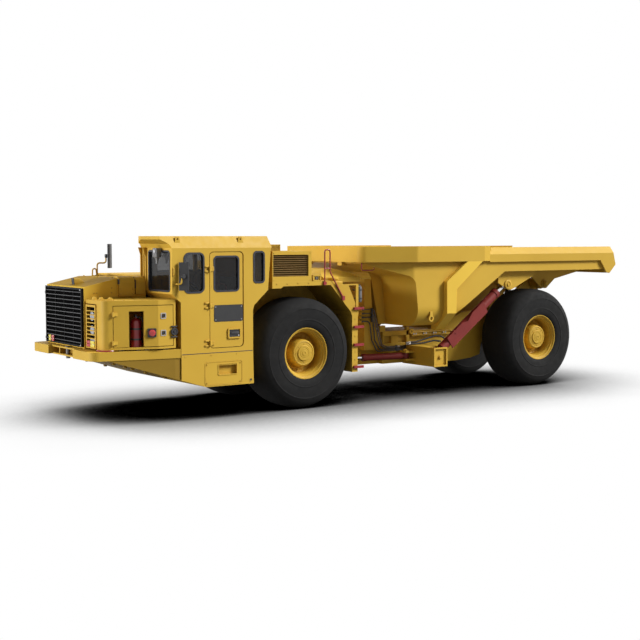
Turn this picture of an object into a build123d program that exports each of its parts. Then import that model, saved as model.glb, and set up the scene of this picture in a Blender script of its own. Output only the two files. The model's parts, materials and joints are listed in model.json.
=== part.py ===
from build123d import *
import os
from math import hypot

# Underground mining truck, articulated behind the front axle, with a rear dump box.
# Millimetres. X forward, Y to the left, Z up. The origin is on the ground, on the
# centreline, half way between the bumper's front face and the box's tail.

# ---- overall sizes
overall_length = 10620
front_overhang = 3560          # front axle to the bumper's front face
wheel_base = 5180
hitch_setback = 1500           # front axle to the articulation axis
cab_height = 2714              # ground to the top of the cab roof
body_half_width = 1300         # cab, fenders and engine covers
rim_half_width = 1450          # box rim, the widest part

# ---- wheels
tyre_radius = 875
tyre_width = 750
wheel_track = 1856             # tyre centre to tyre centre
rim_radius = 409               # outer edge of the rim flange
bead_radius = 362
rim_wall = 16
hub_radius = 205
brake_radius = 250
axle_radius = 115
running_clearance = 0.05       # radial, at pins and bores

# ---- sheet and plate
frame_plate = 40
shell_plate = 25
cab_wall = 50
door_gap = 10
glass_thickness = 8
seal_width = 26

# ---- heights above the ground
belly_z = 480
deck_z = 1070
cab_floor_z = 980
service_top_z = 1795
hood_nose_z = 1975
hood_top_z = 2090
fender_top_z = 2005
cab_eaves_z = 2540

# ---- dump box
box_top_z = 2540
box_bottom_z = 1195
box_half_width = 1360
box_plate = 25
box_corner_radius = 340
rim_depth = 255
dump_pivot_setback = 660       # rear axle to the dump hinge
dump_pivot_z = 1820

# ---- cylinders
hoist_barrel_radius = 80
hoist_rod_radius = 50
hoist_eye_radius = 85
hoist_y = 1150
steer_barrel_radius = 58
steer_rod_radius = 30
steer_eye_radius = 60
cylinder_gap = 6               # barrel bore to rod, and eyes to their lugs

front_axle_x = overall_length / 2 - front_overhang
rear_axle_x = front_axle_x - wheel_base
hitch_x = front_axle_x - hitch_setback
nose_x = overall_length / 2
tail_x = -overall_length / 2
tyre_centre_y = wheel_track / 2
tyre_inner_y = tyre_centre_y - tyre_width / 2
tyre_outer_y = tyre_centre_y + tyre_width / 2
axle_z = tyre_radius

nodes = {}


def front(x):
    return front_axle_x + x


def rear(x):
    return rear_axle_x + x


def block(x0, x1, y0, y1, z0, z1):
    centre = Pos((x0 + x1) / 2, (y0 + y1) / 2, (z0 + z1) / 2)
    return centre * Box(abs(x1 - x0), abs(y1 - y0), abs(z1 - z0))


# an outline in X and Z, from y0 up to y1
def side_plate(outline, y0, y1, radius=0):
    face = Polygon(*outline, align=None)
    if radius:
        face = fillet(face.vertices(), radius)
    return extrude(Plane.XZ.offset(-y0) * face, amount=y1 - y0, dir=(0, 1, 0))


# an outline in X and Y, from z0 up to z1
def plan_plate(outline, z0, z1):
    face = Plane.XY.offset(z0) * Polygon(*outline, align=None)
    return extrude(face, amount=z1 - z0, dir=(0, 0, 1))


# an outline in Y and Z, from x0 up to x1
def cross_plate(outline, x0, x1):
    face = Plane.YZ.offset(x0) * Polygon(*outline, align=None)
    return extrude(face, amount=x1 - x0, dir=(1, 0, 0))


def both_sides(shape):
    return shape + mirror(shape, about=Plane.XZ)


def upright(x, y, z0, z1, radius):
    return Pos(x, y, (z0 + z1) / 2) * Cylinder(radius, z1 - z0)


def cross_pin(x, z, y0, y1, radius):
    return Pos(x, (y0 + y1) / 2, z) * Rot(90, 0, 0) * Cylinder(radius, y1 - y0)


# a round bar from one point to another
def bar(start, end, radius):
    path = Vector(*end) - Vector(*start)
    plane = Plane(origin=start, z_dir=path)
    return extrude(plane * Circle(radius), amount=path.length)


# a bent tube: straight runs joined by tangent arcs of one radius
def bent_tube(points, bend, radius):
    path = FilletPolyline(*points, radius=bend)
    start = Plane(origin=path @ 0, z_dir=path % 0)
    return sweep(start * Circle(radius), path=path)


# ======================================================================== wheels
def tyre():
    half = tyre_width / 2
    flange_z = half - 40
    section = Polyline((bead_radius, -0.8 * half), (rim_radius + 4, -0.9 * half),
                       (0.70 * tyre_radius, -half), (0.90 * tyre_radius, -0.97 * half),
                       (tyre_radius, -0.76 * half), (tyre_radius, 0.76 * half),
                       (0.90 * tyre_radius, 0.97 * half), (0.70 * tyre_radius, half),
                       (rim_radius + 4, flange_z + 2), (rim_radius, flange_z - 8),
                       (bead_radius + 8, 0.8 * half), (bead_radius, 0.8 * half), close=True)
    face = make_face(section)
    shoulders = face.vertices().group_by(Axis.X)[-1]
    face = fillet(shoulders, 0.16 * half)
    return revolve(Plane.XZ * face, Axis.Z)


# the outer side of the wheel looks along +Z here
def wheel_rim():
    half = tyre_width / 2
    flange_z = half - 40
    dish_z = 0.15 * half
    outline = Polyline((0, dish_z - 30), (bead_radius - rim_wall, dish_z - 30),
                       (bead_radius - rim_wall, -0.8 * half),
                       (bead_radius, -0.8 * half), (bead_radius, 0.8 * half),
                       (bead_radius + 8, 0.8 * half), (rim_radius, flange_z - 8),
                       (rim_radius, flange_z), (bead_radius - rim_wall - 8, flange_z),
                       (bead_radius - rim_wall - 30, dish_z + 130), (bead_radius - 60, dish_z + 40),
                       (hub_radius + 40, dish_z + 20), (hub_radius + 10, dish_z + 150),
                       (hub_radius, dish_z + 190), (hub_radius - 25, dish_z + 215),
                       (0.62 * hub_radius, dish_z + 218), (0.58 * hub_radius, dish_z + 232),
                       (0, dish_z + 236), close=True)
    return revolve(Plane.XZ * make_face(outline), Axis.Z)


wheel_sides = (("left", 1), ("right", -1))
wheel_axles = (("front", front_axle_x), ("rear", rear_axle_x))
tyre_body = tyre()
rim_body = wheel_rim()
for end, axle_x in wheel_axles:
    for side, sign in wheel_sides:
        place = Pos(axle_x, sign * tyre_centre_y, axle_z) * Rot(-90 * sign, 0, 0)
        nodes[f"{end}_{side}_tyre"] = place * tyre_body
        nodes[f"{end}_{side}_rim"] = place * rim_body


# ========================================================================= axles
def axle(axle_x, nose):
    housing_end = tyre_centre_y - 30
    drum_start = tyre_inner_y + 60
    body = cross_pin(axle_x, axle_z, -drum_start, drum_start, axle_radius)
    body += both_sides(cross_pin(axle_x, axle_z, drum_start, housing_end, brake_radius))
    body += Pos(axle_x, 0, axle_z) * Sphere(215)
    drive_end = axle_x + nose * 360
    body += bar((axle_x, 0, axle_z), (drive_end, 0, axle_z), 95)
    return body


nodes["front_axle"] = axle(front_axle_x, -1)
nodes["rear_axle"] = axle(rear_axle_x, 1)

# ================================================================= front chassis
cab_front_x = front(2384)
cab_step_x = cab_front_x - 140  # the cab steps back below its windows
cab_step_z = (1745, 1872)
lug_radius = 170
lug_plate = 80
lug_gap = 10
hitch_pin_radius = 60
upper_hitch_z = 1260
lower_hitch_z = 660
bulkhead_x = front(-1050)
steer_rod_pin = (hitch_x + 300, 420)
steer_barrel_pin = (hitch_x - 1020, 660)
steer_z = 645


def hitch_lug(z, toward):
    plate = upright(hitch_x, 0, z - lug_plate / 2, z + lug_plate / 2, lug_radius)
    plate += block(hitch_x, toward, -lug_radius, lug_radius, z - lug_plate / 2, z + lug_plate / 2)
    return plate - upright(hitch_x, 0, z - lug_plate, z + lug_plate, hitch_pin_radius + running_clearance)


def front_chassis():
    rail_y = 420
    arch = 275
    profile = [(front(3180), 925), (front(3180), deck_z - 20), (cab_front_x + 20, deck_z - 20),
               (cab_front_x + 20, 970), (front(620), 970), (front(470), 1330), (front(-470), 1330),
               (front(-700), 1450), (bulkhead_x, 1450),
               (bulkhead_x, 520), (front(-500), 600), (front(500), 600), (front(1800), 520)]
    rail = side_plate(profile, rail_y - frame_plate, rail_y)
    rail -= cross_pin(front_axle_x, axle_z, rail_y - 2 * frame_plate, rail_y + frame_plate, arch)
    rail -= block(front(-arch), front(arch), rail_y - 2 * frame_plate, rail_y + frame_plate, 0, axle_z)
    body = both_sides(rail)
    for x in (3140, 1500, 700):
        body += block(front(x), front(x + 40), -rail_y, rail_y, 925, 965)
    body += block(bulkhead_x, bulkhead_x + frame_plate, -500, 500, 520, 1450)
    body += block(front(-340), front(-300), -rail_y, rail_y, 1180, 1330)
    # pads that stand on the axle tube
    pad = block(front(-90), front(90), rail_y - 130, rail_y, axle_z, 1200)
    pad -= cross_pin(front_axle_x, axle_z, 0, 2 * rail_y, axle_radius)
    body += both_sides(pad)
    for z in (upper_hitch_z, lower_hitch_z):
        body += hitch_lug(z, bulkhead_x + frame_plate / 2)
    # two plates that hold each steering rod's eye between them
    ear_y = steer_rod_pin[1]
    ear = [(bulkhead_x, 300), (bulkhead_x, 560), (steer_rod_pin[0] - 60, ear_y + 80),
           (steer_rod_pin[0] - 60, ear_y - 80)]
    eye_half = steer_eye_radius * 0.8
    for low, high in ((steer_z - eye_half - 36, steer_z - eye_half - 6),
                      (steer_z + eye_half + 6, steer_z + eye_half + 36)):
        body += both_sides(plan_plate(ear, low, high))
    return body


nodes["front_chassis"] = front_chassis()

# ======================================================================== bumper
bumper_height = 130
bumper_corner_y = 1080
bumper_tail = (cab_step_x + 8, body_half_width)
pocket_half = 455
tow_pin_radius = 32
bumper_bottom_z = deck_z - bumper_height
base_inner_y = 480             # inner wall of the cab base


def bumper_outline(inset):
    corner_x = nose_x - inset
    tail_in = inset * 1.02
    points = [(corner_x, -bumper_corner_y + 0.8 * inset), (corner_x, bumper_corner_y - 0.8 * inset),
              (bumper_tail[0], bumper_tail[1] - tail_in), (bumper_tail[0], -bumper_tail[1] + tail_in)]
    face = Polygon(*points, align=None)
    corners = face.vertices().group_by(Axis.X)[-1]
    return fillet(corners, max(130 - inset, 20))


# on the right the bumper and its deck stop at the engine cover, ahead of the cab's step
def right_tail_cut():
    return block(cab_step_x, cab_front_x + 8, -body_half_width - 1, 320, bumper_bottom_z - 1, deck_z + 1)


def front_bumper():
    outer = extrude(Plane.XY.offset(bumper_bottom_z) * bumper_outline(0), amount=bumper_height,
                    dir=(0, 0, 1))
    inner = extrude(Plane.XY.offset(bumper_bottom_z - 1) * bumper_outline(60),
                    amount=bumper_height + 2, dir=(0, 0, 1))
    beam = block(nose_x - 280, nose_x, -bumper_corner_y - 150, bumper_corner_y + 150,
                 bumper_bottom_z, deck_z)
    body = (outer - inner) + (outer & beam)
    body -= block(nose_x - 240, nose_x + 1, -pocket_half, pocket_half,
                  bumper_bottom_z + 20, deck_z - 20)
    body -= block(nose_x - 60, nose_x + 1, -pocket_half, pocket_half, bumper_bottom_z - 1, deck_z + 1)
    for y in (-260, 230):
        body += block(nose_x - 242, nose_x - 90, y, y + 30, bumper_bottom_z + 19, deck_z - 19)
    body -= upright(nose_x - 120, 0, bumper_bottom_z - 1, deck_z + 1, tow_pin_radius)
    return body - right_tail_cut()


nodes["front_bumper"] = front_bumper()
tow_pin = upright(nose_x - 120, 0, bumper_bottom_z - 40, deck_z + 12, tow_pin_radius)
nodes["tow_pin"] = tow_pin + upright(nose_x - 120, 0, deck_z, deck_z + 12, 1.4 * tow_pin_radius)


# deck inside the bumper and the sloping guard below it
def front_deck():
    deck = extrude(Plane.XY.offset(deck_z - 20) * bumper_outline(60), amount=20, dir=(0, 0, 1))
    deck -= block(nose_x - 280, nose_x, -2000, 2000, deck_z - 30, deck_z + 1)
    return deck - right_tail_cut()


# the belly rises in one slope from the cab base to the bumper's lower edge
slope_rear_x = front(1831)
slope_front_x = front(3320)
slope_rise = (bumper_bottom_z - belly_z) / (slope_front_x - slope_rear_x)


def slope_z(x):
    return belly_z + slope_rise * (x - slope_rear_x)


# a trough under the deck, open at its top and rear, and a keel plate between the cab bases
def belly_guard():
    rear_x = bumper_tail[0]
    bend_x = rear_x + 80
    front_y = bumper_corner_y + 32
    plate = 22

    def trough(inset):
        past = 1 if inset else 0
        wedge = [(slope_front_x - inset / slope_rise, bumper_bottom_z + past),
                 (rear_x - past, bumper_bottom_z + past), (rear_x - past, slope_z(rear_x) + inset)]
        plan = [(rear_x - 1, 1282 - inset), (bend_x, 1278 - inset), (slope_front_x, front_y - inset)]
        plan += [(x, -y) for x, y in reversed(plan)]
        return side_plate(wedge, -body_half_width, body_half_width) & plan_plate(plan, belly_z, deck_z)

    body = trough(0) - trough(plate)
    keel = [(rear_x, slope_z(rear_x)), (slope_rear_x, belly_z), (front(1050), belly_z),
            (front(1050), belly_z + plate), (slope_rear_x, belly_z + plate),
            (rear_x, slope_z(rear_x) + plate)]
    return body + side_plate(keel, -base_inner_y + 1, base_inner_y - 1)


nodes["front_chassis"] += front_deck()
nodes["belly_guard"] = belly_guard()

# =========================================================== cab base and side base
cab_rear_x = front(1007)
cab_inner_y = 330
step_x = (front(1295), front(1627))
step_z = (650, 790)


def side_base(step):
    front_x = cab_step_x - 4
    outer = [(front_x, cab_floor_z), (cab_rear_x, cab_floor_z), (front(996), belly_z),
             (slope_rear_x, belly_z), (front_x, slope_z(front_x))]
    inner = [(front_x - 25, cab_floor_z - 25), (cab_rear_x + 25, cab_floor_z - 25),
             (front(1021), belly_z + 25), (slope_rear_x - 4, belly_z + 25),
             (front_x - 25, slope_z(front_x) + 19)]
    body = side_plate(outer, base_inner_y, body_half_width)
    body -= side_plate(inner, base_inner_y + 25, body_half_width - 25)
    if step:
        body -= block(step_x[0], step_x[1], body_half_width - 60, body_half_width + 1,
                      step_z[0], step_z[1])
    return body


nodes["side_bases"] = Compound([side_base(True), mirror(side_base(False), about=Plane.XZ)])

# ============================================================================ cab
door_x = (front(1170), front(1765))
door_z = (1050, 2485)
cab_outline = [(cab_step_x, cab_floor_z), (cab_step_x, cab_step_z[0]), (cab_front_x, cab_step_z[1]),
               (cab_front_x, cab_eaves_z), (front(680), cab_eaves_z),
               (front(735), 1893), (front(983), 1672), (cab_rear_x, 1597), (cab_rear_x, cab_floor_z)]
cab_hollow = [(cab_step_x - cab_wall, cab_floor_z + cab_wall),
              (cab_step_x - cab_wall, cab_step_z[0] + 0.44 * cab_wall),
              (cab_front_x - cab_wall, cab_step_z[1] + 0.44 * cab_wall), (cab_front_x - cab_wall, cab_eaves_z + 1),
              (front(733), cab_eaves_z + 1), (front(787), 1917), (front(1028), 1703),
              (cab_rear_x + cab_wall, 1600), (cab_rear_x + cab_wall, cab_floor_z + cab_wall)]


# a window opening in a wall: outline rounded at its corners
def side_window(x0, x1, z0, z1, y0, y1, radius):
    return side_plate([(x0, z0), (x1, z0), (x1, z1), (x0, z1)], y0, y1, radius)


def end_window(y0, y1, z0, z1, x0, x1, radius):
    face = fillet(Polygon((y0, z0), (y1, z0), (y1, z1), (y0, z1), align=None).vertices(), radius)
    return extrude(Plane.YZ.offset(x0) * face, amount=x1 - x0, dir=(1, 0, 0))


# name: kind, first span, height span, corner radius, near and far face of the wall
cab_windows = {
    "front": ("end", (560, body_half_width - cab_wall - 8), (1898, 2507), 60, cab_front_x - cab_wall, cab_front_x),
    "side": ("side", (front(1845), front(2195)), (1875, 2475), 90,
             body_half_width - cab_wall, body_half_width),
    "corner": ("side", (front(792), front(1000)), (2000, 2490), 60,
               body_half_width - cab_wall, body_half_width),
    "inner": ("side", (front(1250), front(2200)), (2170, 2480), 60,
              cab_inner_y, cab_inner_y + cab_wall),
}


def window_slab(kind, span, height, radius, near, far, inset=0):
    args = (span[0] + inset, span[1] - inset, height[0] + inset, height[1] - inset, near, far,
            max(radius - inset, 10))
    return end_window(*args) if kind == "end" else side_window(*args)


def cab_shell():
    body = side_plate(cab_outline, cab_inner_y, body_half_width)
    body -= side_plate(cab_hollow, cab_inner_y + cab_wall, body_half_width - cab_wall)
    for kind, span, height, radius, near, far in cab_windows.values():
        body -= window_slab(kind, span, height, radius, near - 5, far + 5)
    body -= side_window(door_x[0], door_x[1], door_z[0], door_z[1],
                        body_half_width - cab_wall - 1, body_half_width + 1, 70)
    return body


nodes["cab_shell"] = cab_shell()

seals = []
panes = []
for kind, span, height, radius, near, far in cab_windows.values():
    depth = near + cab_wall / 2 - glass_thickness / 2
    frame = window_slab(kind, span, height, radius, near - 6, far + 6)
    frame -= window_slab(kind, span, height, radius, near - 7, far + 7, seal_width)
    pane = window_slab(kind, span, height, radius, depth, depth + glass_thickness, seal_width)
    seals.append(frame)
    panes.append(pane)
nodes["window_seals"] = Compound(seals)
nodes["cab_glass"] = Compound(panes)


roof_lug_x = (front(1205), front(2275))
roof_lug_z = cab_height - 42
roof_lug_hole = 16


def cab_roof():
    profile = [(cab_front_x, cab_eaves_z), (front(2420), 2600), (front(2545), 2665),
               (front(2548), cab_height), (front(705), cab_height), (front(660), cab_eaves_z)]
    section = [(cab_inner_y, cab_eaves_z), (body_half_width, cab_eaves_z),
               (body_half_width - 75, cab_height), (cab_inner_y + 55, cab_height)]
    side_y = body_half_width + 100
    plan = [(front(640), 200), (cab_front_x, 200), (front(2560), cab_inner_y + 330),
            (front(2560), side_y), (front(640), side_y)]
    body = side_plate(profile, cab_inner_y, body_half_width)
    body &= cross_plate(section, front(640), front(2560))
    body &= plan_plate(plan, cab_eaves_z, cab_height)
    for x in roof_lug_x:
        for y in (cab_inner_y + 16, body_half_width - 48):
            lug = side_plate([(x - 55, cab_eaves_z + 20), (x - 30, cab_height - 10),
                              (x + 30, cab_height - 10), (x + 55, cab_eaves_z + 20)], y, y + 16)
            body += lug - cross_pin(x, roof_lug_z, y - 1, y + 17, roof_lug_hole)
    return body


nodes["cab_roof"] = cab_roof()

# door leaf: the whole wall's thickness, with its window
leaf_x = (door_x[0] + 2 * door_gap, door_x[1] - door_gap)
leaf_z = (door_z[0] + door_gap, door_z[1] - door_gap)
door_window = (front(1245), front(1695), 1885, 2425)
door_hinge_x = door_x[1]
door_hinge_y = body_half_width + 18


def door_window_slab(y0, y1, inset=0):
    x0, x1, z0, z1 = door_window
    return side_window(x0 + inset, x1 - inset, z0 + inset, z1 - inset, y0, y1, 70 - inset)


def cab_door():
    leaf = side_window(leaf_x[0], leaf_x[1], leaf_z[0], leaf_z[1],
                       body_half_width - cab_wall, body_half_width, 60)
    leaf -= door_window_slab(body_half_width - cab_wall - 1, body_half_width + 1)
    # hinge leaves and knuckles on the front edge
    for z in (1130, 1690, 2230):
        leaf += block(door_hinge_x - 66, door_hinge_x - 12, body_half_width - 2,
                      body_half_width + 14, z - 30, z + 30)
        leaf += upright(door_hinge_x, door_hinge_y, z - 40, z + 40, 16)
        leaf += block(door_hinge_x - 20, door_hinge_x, door_hinge_y - 8, door_hinge_y + 8,
                      z - 30, z + 30)
    return leaf


nodes["cab_door"] = cab_door()
door_mid = body_half_width - cab_wall / 2
nodes["door_seal"] = (door_window_slab(body_half_width - cab_wall - 4, body_half_width + 4)
                      - door_window_slab(body_half_width - cab_wall - 5, body_half_width + 5, seal_width))
nodes["door_glass"] = door_window_slab(door_mid - 4, door_mid + 4, seal_width)

# ------------------------------------------------------------------- cab interior
seat_x = front(1480)
seat_y = 830
floor_z = cab_floor_z + cab_wall


def seat_base():
    body = upright(seat_x, seat_y, floor_z, floor_z + 260, 130)
    return body + block(seat_x - 220, seat_x + 220, seat_y - 220, seat_y + 220,
                        floor_z + 260, floor_z + 320)


nodes["seat_base"] = seat_base()
nodes["seat_cushion"] = block(seat_x - 215, seat_x + 245, seat_y - 230, seat_y + 230,
                              floor_z + 320, floor_z + 440)
nodes["seat_back"] = side_plate([(seat_x - 300, floor_z + 420), (seat_x - 216, floor_z + 420),
                                 (seat_x - 290, floor_z + 1080), (seat_x - 380, floor_z + 1080)],
                                seat_y - 220, seat_y + 220)


def control_console():
    desk = [(cab_step_x - cab_wall, floor_z), (cab_step_x - cab_wall, floor_z + 800),
            (cab_step_x - cab_wall - 40, floor_z + 800), (cab_front_x - 290, floor_z + 620),
            (cab_front_x - 230, floor_z)]
    body = side_plate(desk, 420, 1230)
    foot = (cab_front_x - 250, seat_y, floor_z + 600)
    body += bar(foot, (cab_front_x - 390, seat_y, floor_z + 760), 28)
    wheel = Torus(190, 16) + Cylinder(55, 26) + Box(370, 34, 14) + Box(34, 370, 14)
    return body + Pos(cab_front_x - 396, seat_y, floor_z + 768) * Rot(0, -41, 0) * wheel


nodes["control_console"] = control_console()

# ==================================================================== engine bay
hood_left_y = 480
hood_right_y = -880
grille_x = front(3390)
hood_rear_x = cab_front_x + 6
cover_rear_x = front(640)
cover_left_y = cab_inner_y - 15
cover_top_z = 2120


def hood_profile(inset):
    return [(grille_x - inset, deck_z + 5), (grille_x - inset, hood_nose_z - inset),
            (front(2860), hood_top_z - inset), (hood_rear_x - (1 if inset else 0), hood_top_z - inset),
            (hood_rear_x - (1 if inset else 0), deck_z + 5)]


def engine_hood():
    body = side_plate(hood_profile(0), hood_right_y, hood_left_y)
    inner = side_plate(hood_profile(shell_plate), hood_right_y + shell_plate, hood_left_y - shell_plate)
    body -= Pos(0, 0, -8) * inner
    # the nose is open behind the grille
    body -= block(grille_x - 60, grille_x + 1, hood_right_y + 30, hood_left_y - 30, deck_z + 35, 1930)
    return body


nodes["engine_hood"] = engine_hood()


# cover over the engine beside the cab, shaped to the tyre's arch at its rear
def cover_solid(inset):
    top = cover_top_z - inset
    side = body_half_width - inset
    low = cab_floor_z + 5 - 2 * inset
    step = cab_rear_x + inset
    open_x = hood_rear_x - 4 + inset
    profile = [(open_x, low), (open_x, top), (cover_rear_x + inset, top),
               (cover_rear_x + inset, 1909 + inset), (front(735) + inset, 1893 + inset),
               (front(983) + inset, 1672 + inset), (step, 1597), (step, low)]
    section = [(cover_left_y - inset, top), (cover_left_y - inset, low), (-side, low),
               (-side, top - 90), (90 - side, top)]
    return side_plate(profile, -side, cover_left_y) & cross_plate(section, cover_rear_x, hood_rear_x + 50)


def engine_cover():
    body = cover_solid(0) - cover_solid(shell_plate)
    # air slots in the outer side
    for row in range(7):
        z = 1420 + 75 * row
        body -= block(front(1150), front(2150), -body_half_width - 1, -body_half_width + shell_plate + 1,
                      z, z + 38)
    return body


nodes["engine_cover"] = engine_cover()
nodes["engine_block"] = (block(front(1080), front(2300), -760, 130, 1080, 1900)
                         + block(front(2300), front(3050), -620, 220, 1100, 1820))

# ------------------------------------------------------------------------ grille
grille_y = (-862, 462)
grille_z = (deck_z + 25, 1955)
grille_slats = 15


def radiator_grille():
    x0 = grille_x + 1
    body = block(x0, x0 + 34, grille_y[0], grille_y[1], grille_z[0], grille_z[1])
    body -= block(x0 - 1, x0 + 35, grille_y[0] + 26, grille_y[1] - 26, grille_z[0] + 26, grille_z[1] - 26)
    pitch = (grille_z[1] - grille_z[0] - 52) / (grille_slats + 1)
    for row in range(1, grille_slats + 1):
        z = grille_z[0] + 26 + pitch * row
        body += block(x0 + 4, x0 + 40, grille_y[0] + 20, grille_y[1] - 20, z - 8, z + 8)
    for share in (0.33, 0.66):
        y = grille_y[0] + share * (grille_y[1] - grille_y[0])
        body += block(x0, x0 + 10, y - 9, y + 9, grille_z[0] + 20, grille_z[1] - 20)
    return body


nodes["radiator_grille"] = radiator_grille()

# ------------------------------------------------------------- lamps at the nose
lamp_y = 690
lamp_heights = (1560, 1360)
guard_y = (520, 850)
guard_z = (deck_z + 25, 1725)


def lamp_guard():
    x0 = front(3300)
    x1 = front(3385)
    body = block(x0, x1, guard_y[0], guard_y[1], guard_z[0], guard_z[1])
    body -= block(x0 + 20, x1 + 1, guard_y[0] + 30, guard_y[1] - 30, guard_z[0] + 30, guard_z[1] - 30)
    pitch = (guard_z[1] - guard_z[0] - 60) / 10
    for row in range(1, 10):
        z = guard_z[0] + 30 + pitch * row
        body += block(x1 - 16, x1, guard_y[0] + 20, guard_y[1] - 20, z - 7, z + 7)
    return body


nodes["lamp_guard"] = lamp_guard()


def headlamp(x, y, z):
    return Pos(x, y, z) * Rot(0, 90, 0) * Cone(52, 66, 42)


lamps = [headlamp(front(3343), lamp_y, z) for z in lamp_heights]
lamps += [headlamp(grille_x - 85, -lamp_y, z) for z in lamp_heights]
lamps += [block(front(3322), front(3340), 570, 800, 1130, 1240)]
lamps += [block(grille_x - 85, grille_x - 65, -800, -570, 1130, 1240)]
nodes["front_lamps"] = Compound(lamps)

# ------------------------------------------------------------- service cabinets
cabinet_front_x = front(3370)
cabinet_bend = (front(2600), 1272)
cabinet_corner = (front(3262), 1095)
cabinet_rear_x = cab_front_x - 66
cabinet_z = (deck_z + 20, service_top_z)


# plan outline of the cabinet's outer skin, moved in by a wall
def cabinet_plan(inset):
    slope = (cabinet_bend[1] - cabinet_corner[1]) / (cabinet_corner[0] - cabinet_bend[0])
    front_x = cabinet_front_x - inset
    corner_y = cabinet_corner[1] - slope * (front_x - cabinet_corner[0]) - inset
    points = [(cabinet_rear_x + inset, 505 + inset), (front_x, 505 + inset), (front_x, corner_y),
              (cabinet_bend[0], cabinet_bend[1] - inset), (cabinet_rear_x + inset, cabinet_bend[1] - inset)]
    face = Polygon(*points, align=None)
    corner = face.vertices().sort_by_distance(Vector(front_x, corner_y))[0]
    return fillet(corner, 110 - inset)


def cabinet_slab(inset, z0, z1):
    return extrude(Plane.XY.offset(z0) * cabinet_plan(inset), amount=z1 - z0, dir=(0, 0, 1))


def guard_recess():
    return block(front(3280), cabinet_front_x + 1, 500, guard_y[1] + 8, cabinet_z[0] - 1, 1740)


service_door_x = (cabinet_rear_x + 34, front(3235))
service_door_z = (cabinet_z[0] + 30, service_top_z - 70)


def service_cabinet(door):
    body = cabinet_slab(0, cabinet_z[0], cabinet_z[1])
    body -= cabinet_slab(shell_plate, cabinet_z[0] + shell_plate, cabinet_z[1] - shell_plate)
    body -= guard_recess()
    body += block(front(3255), front(3280), 506, guard_y[1] + 33, cabinet_z[0], cabinet_z[1] - 5)
    body += block(front(3255), front(3345), guard_y[1] + 8, guard_y[1] + 33, cabinet_z[0] + 5,
                  cabinet_z[1] - 5)
    body += block(front(3280), front(3345), 506, guard_y[1] + 33, 1740, 1765)
    if door:
        body -= block(service_door_x[0], service_door_x[1], 1000, 1400,
                      service_door_z[0], service_door_z[1])
    return body


nodes["service_cabinet"] = service_cabinet(True)
right_cabinet = cabinet_slab(0, cabinet_z[0], cabinet_z[1])
right_cabinet -= cabinet_slab(shell_plate, cabinet_z[0] + shell_plate, cabinet_z[1] - shell_plate)
right_cabinet &= block(cab_front_x + 12, front(3050), hood_right_y * -1 + 15, 1400, 0, 3000)
nodes["service_cabinet"] = Compound([nodes["service_cabinet"], mirror(right_cabinet, about=Plane.XZ)])

bottle_x = front(2880)
bottle_y = 1010
service_hinge = (service_door_x[1] + 4, 1118)


def service_door():
    skin = cabinet_slab(0, service_door_z[0], service_door_z[1])
    skin -= cabinet_slab(shell_plate, service_door_z[0] - 1, service_door_z[1] + 1)
    leaf = skin & block(service_door_x[0] + door_gap, service_door_x[1] - door_gap, 1000, 1400,
                        service_door_z[0] + door_gap, service_door_z[1] - door_gap)
    leaf -= block(bottle_x - 80, bottle_x + 130, 1000, 1400, service_door_z[0], 1640)
    for z in (1190, 1600):
        leaf += upright(service_hinge[0], service_hinge[1], z - 35, z + 35, 14)
        leaf += block(service_hinge[0] - 70, service_hinge[0], service_hinge[1] - 8,
                      service_hinge[1] + 8, z - 25, z + 25)
    return leaf


nodes["service_door"] = service_door()


def fire_extinguisher():
    foot_z = cabinet_z[0] + shell_plate
    body = upright(bottle_x + 25, bottle_y, foot_z, foot_z + 370, 72)
    top = body.faces().sort_by(Axis.Z)[-1]
    body = fillet(top.edges(), 45)
    body += upright(bottle_x + 25, bottle_y, foot_z + 360, foot_z + 430, 20)
    body += block(bottle_x + 5, bottle_x + 105, bottle_y - 14, bottle_y + 14, foot_z + 415, foot_z + 450)
    return body


nodes["fire_extinguisher"] = fire_extinguisher()

# ======================================================================= fenders
fender_inner_y = tyre_inner_y - 33
fender_outer_y = 1262
post_x = (front(-1018), front(-905))
strip_x = (front(-1031), front(-980))
strip_inner_y = fender_outer_y - 25
strip_top_z = 1945


def front_fender():
    profile = [(front(630), fender_top_z), (front(-500), fender_top_z), (front(-535), fender_top_z - 60),
               (front(-965), 1545), (post_x[0], 1450), (post_x[0], 520), (post_x[1], 520),
               (post_x[1], 1430), (front(-875), 1500), (front(-480), fender_top_z - 65),
               (front(420), fender_top_z - 65), (front(473), 1909), (front(630), 1909)]
    body = side_plate(profile, fender_inner_y, fender_outer_y)
    # strip and rail round the slope, with a gusset plate in their upper corner
    body += block(strip_x[0], strip_x[1], strip_inner_y, fender_outer_y, 1430, strip_top_z)
    body += block(strip_x[0], front(-530), strip_inner_y, fender_outer_y, strip_top_z - 20, strip_top_z)
    gusset = [(front(-520), 1930), (front(-829), 1930), (front(-965), 1643), (front(-965), 1540)]
    body += side_plate(gusset, fender_outer_y - 12, fender_outer_y)
    # the post is folded from plate, hollow towards the rear
    body -= block(post_x[0] - 1, post_x[1] - 30, fender_inner_y + 30, fender_outer_y - 30, 560, 1420)
    # inner wall of the arch
    inner = [(front(640), 1180), (front(640), 1915), (front(440), 1950), (front(-475), 1950),
             (front(-880), 1500), (front(-880), 1180)]
    body += side_plate(inner, fender_inner_y - 20, fender_inner_y)
    return body


nodes["front_fenders"] = both_sides(front_fender())

# four rungs on each post and the handrail above them
rung_heights = (600, 960, 1250, 1550)


def rungs():
    body = None
    for z in rung_heights:
        rung = block(front(-1120), front(-930), fender_outer_y, fender_outer_y + 34, z - 20, z + 20)
        body = rung if body is None else body + rung
    return body


rail_y = fender_outer_y + 14


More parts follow.
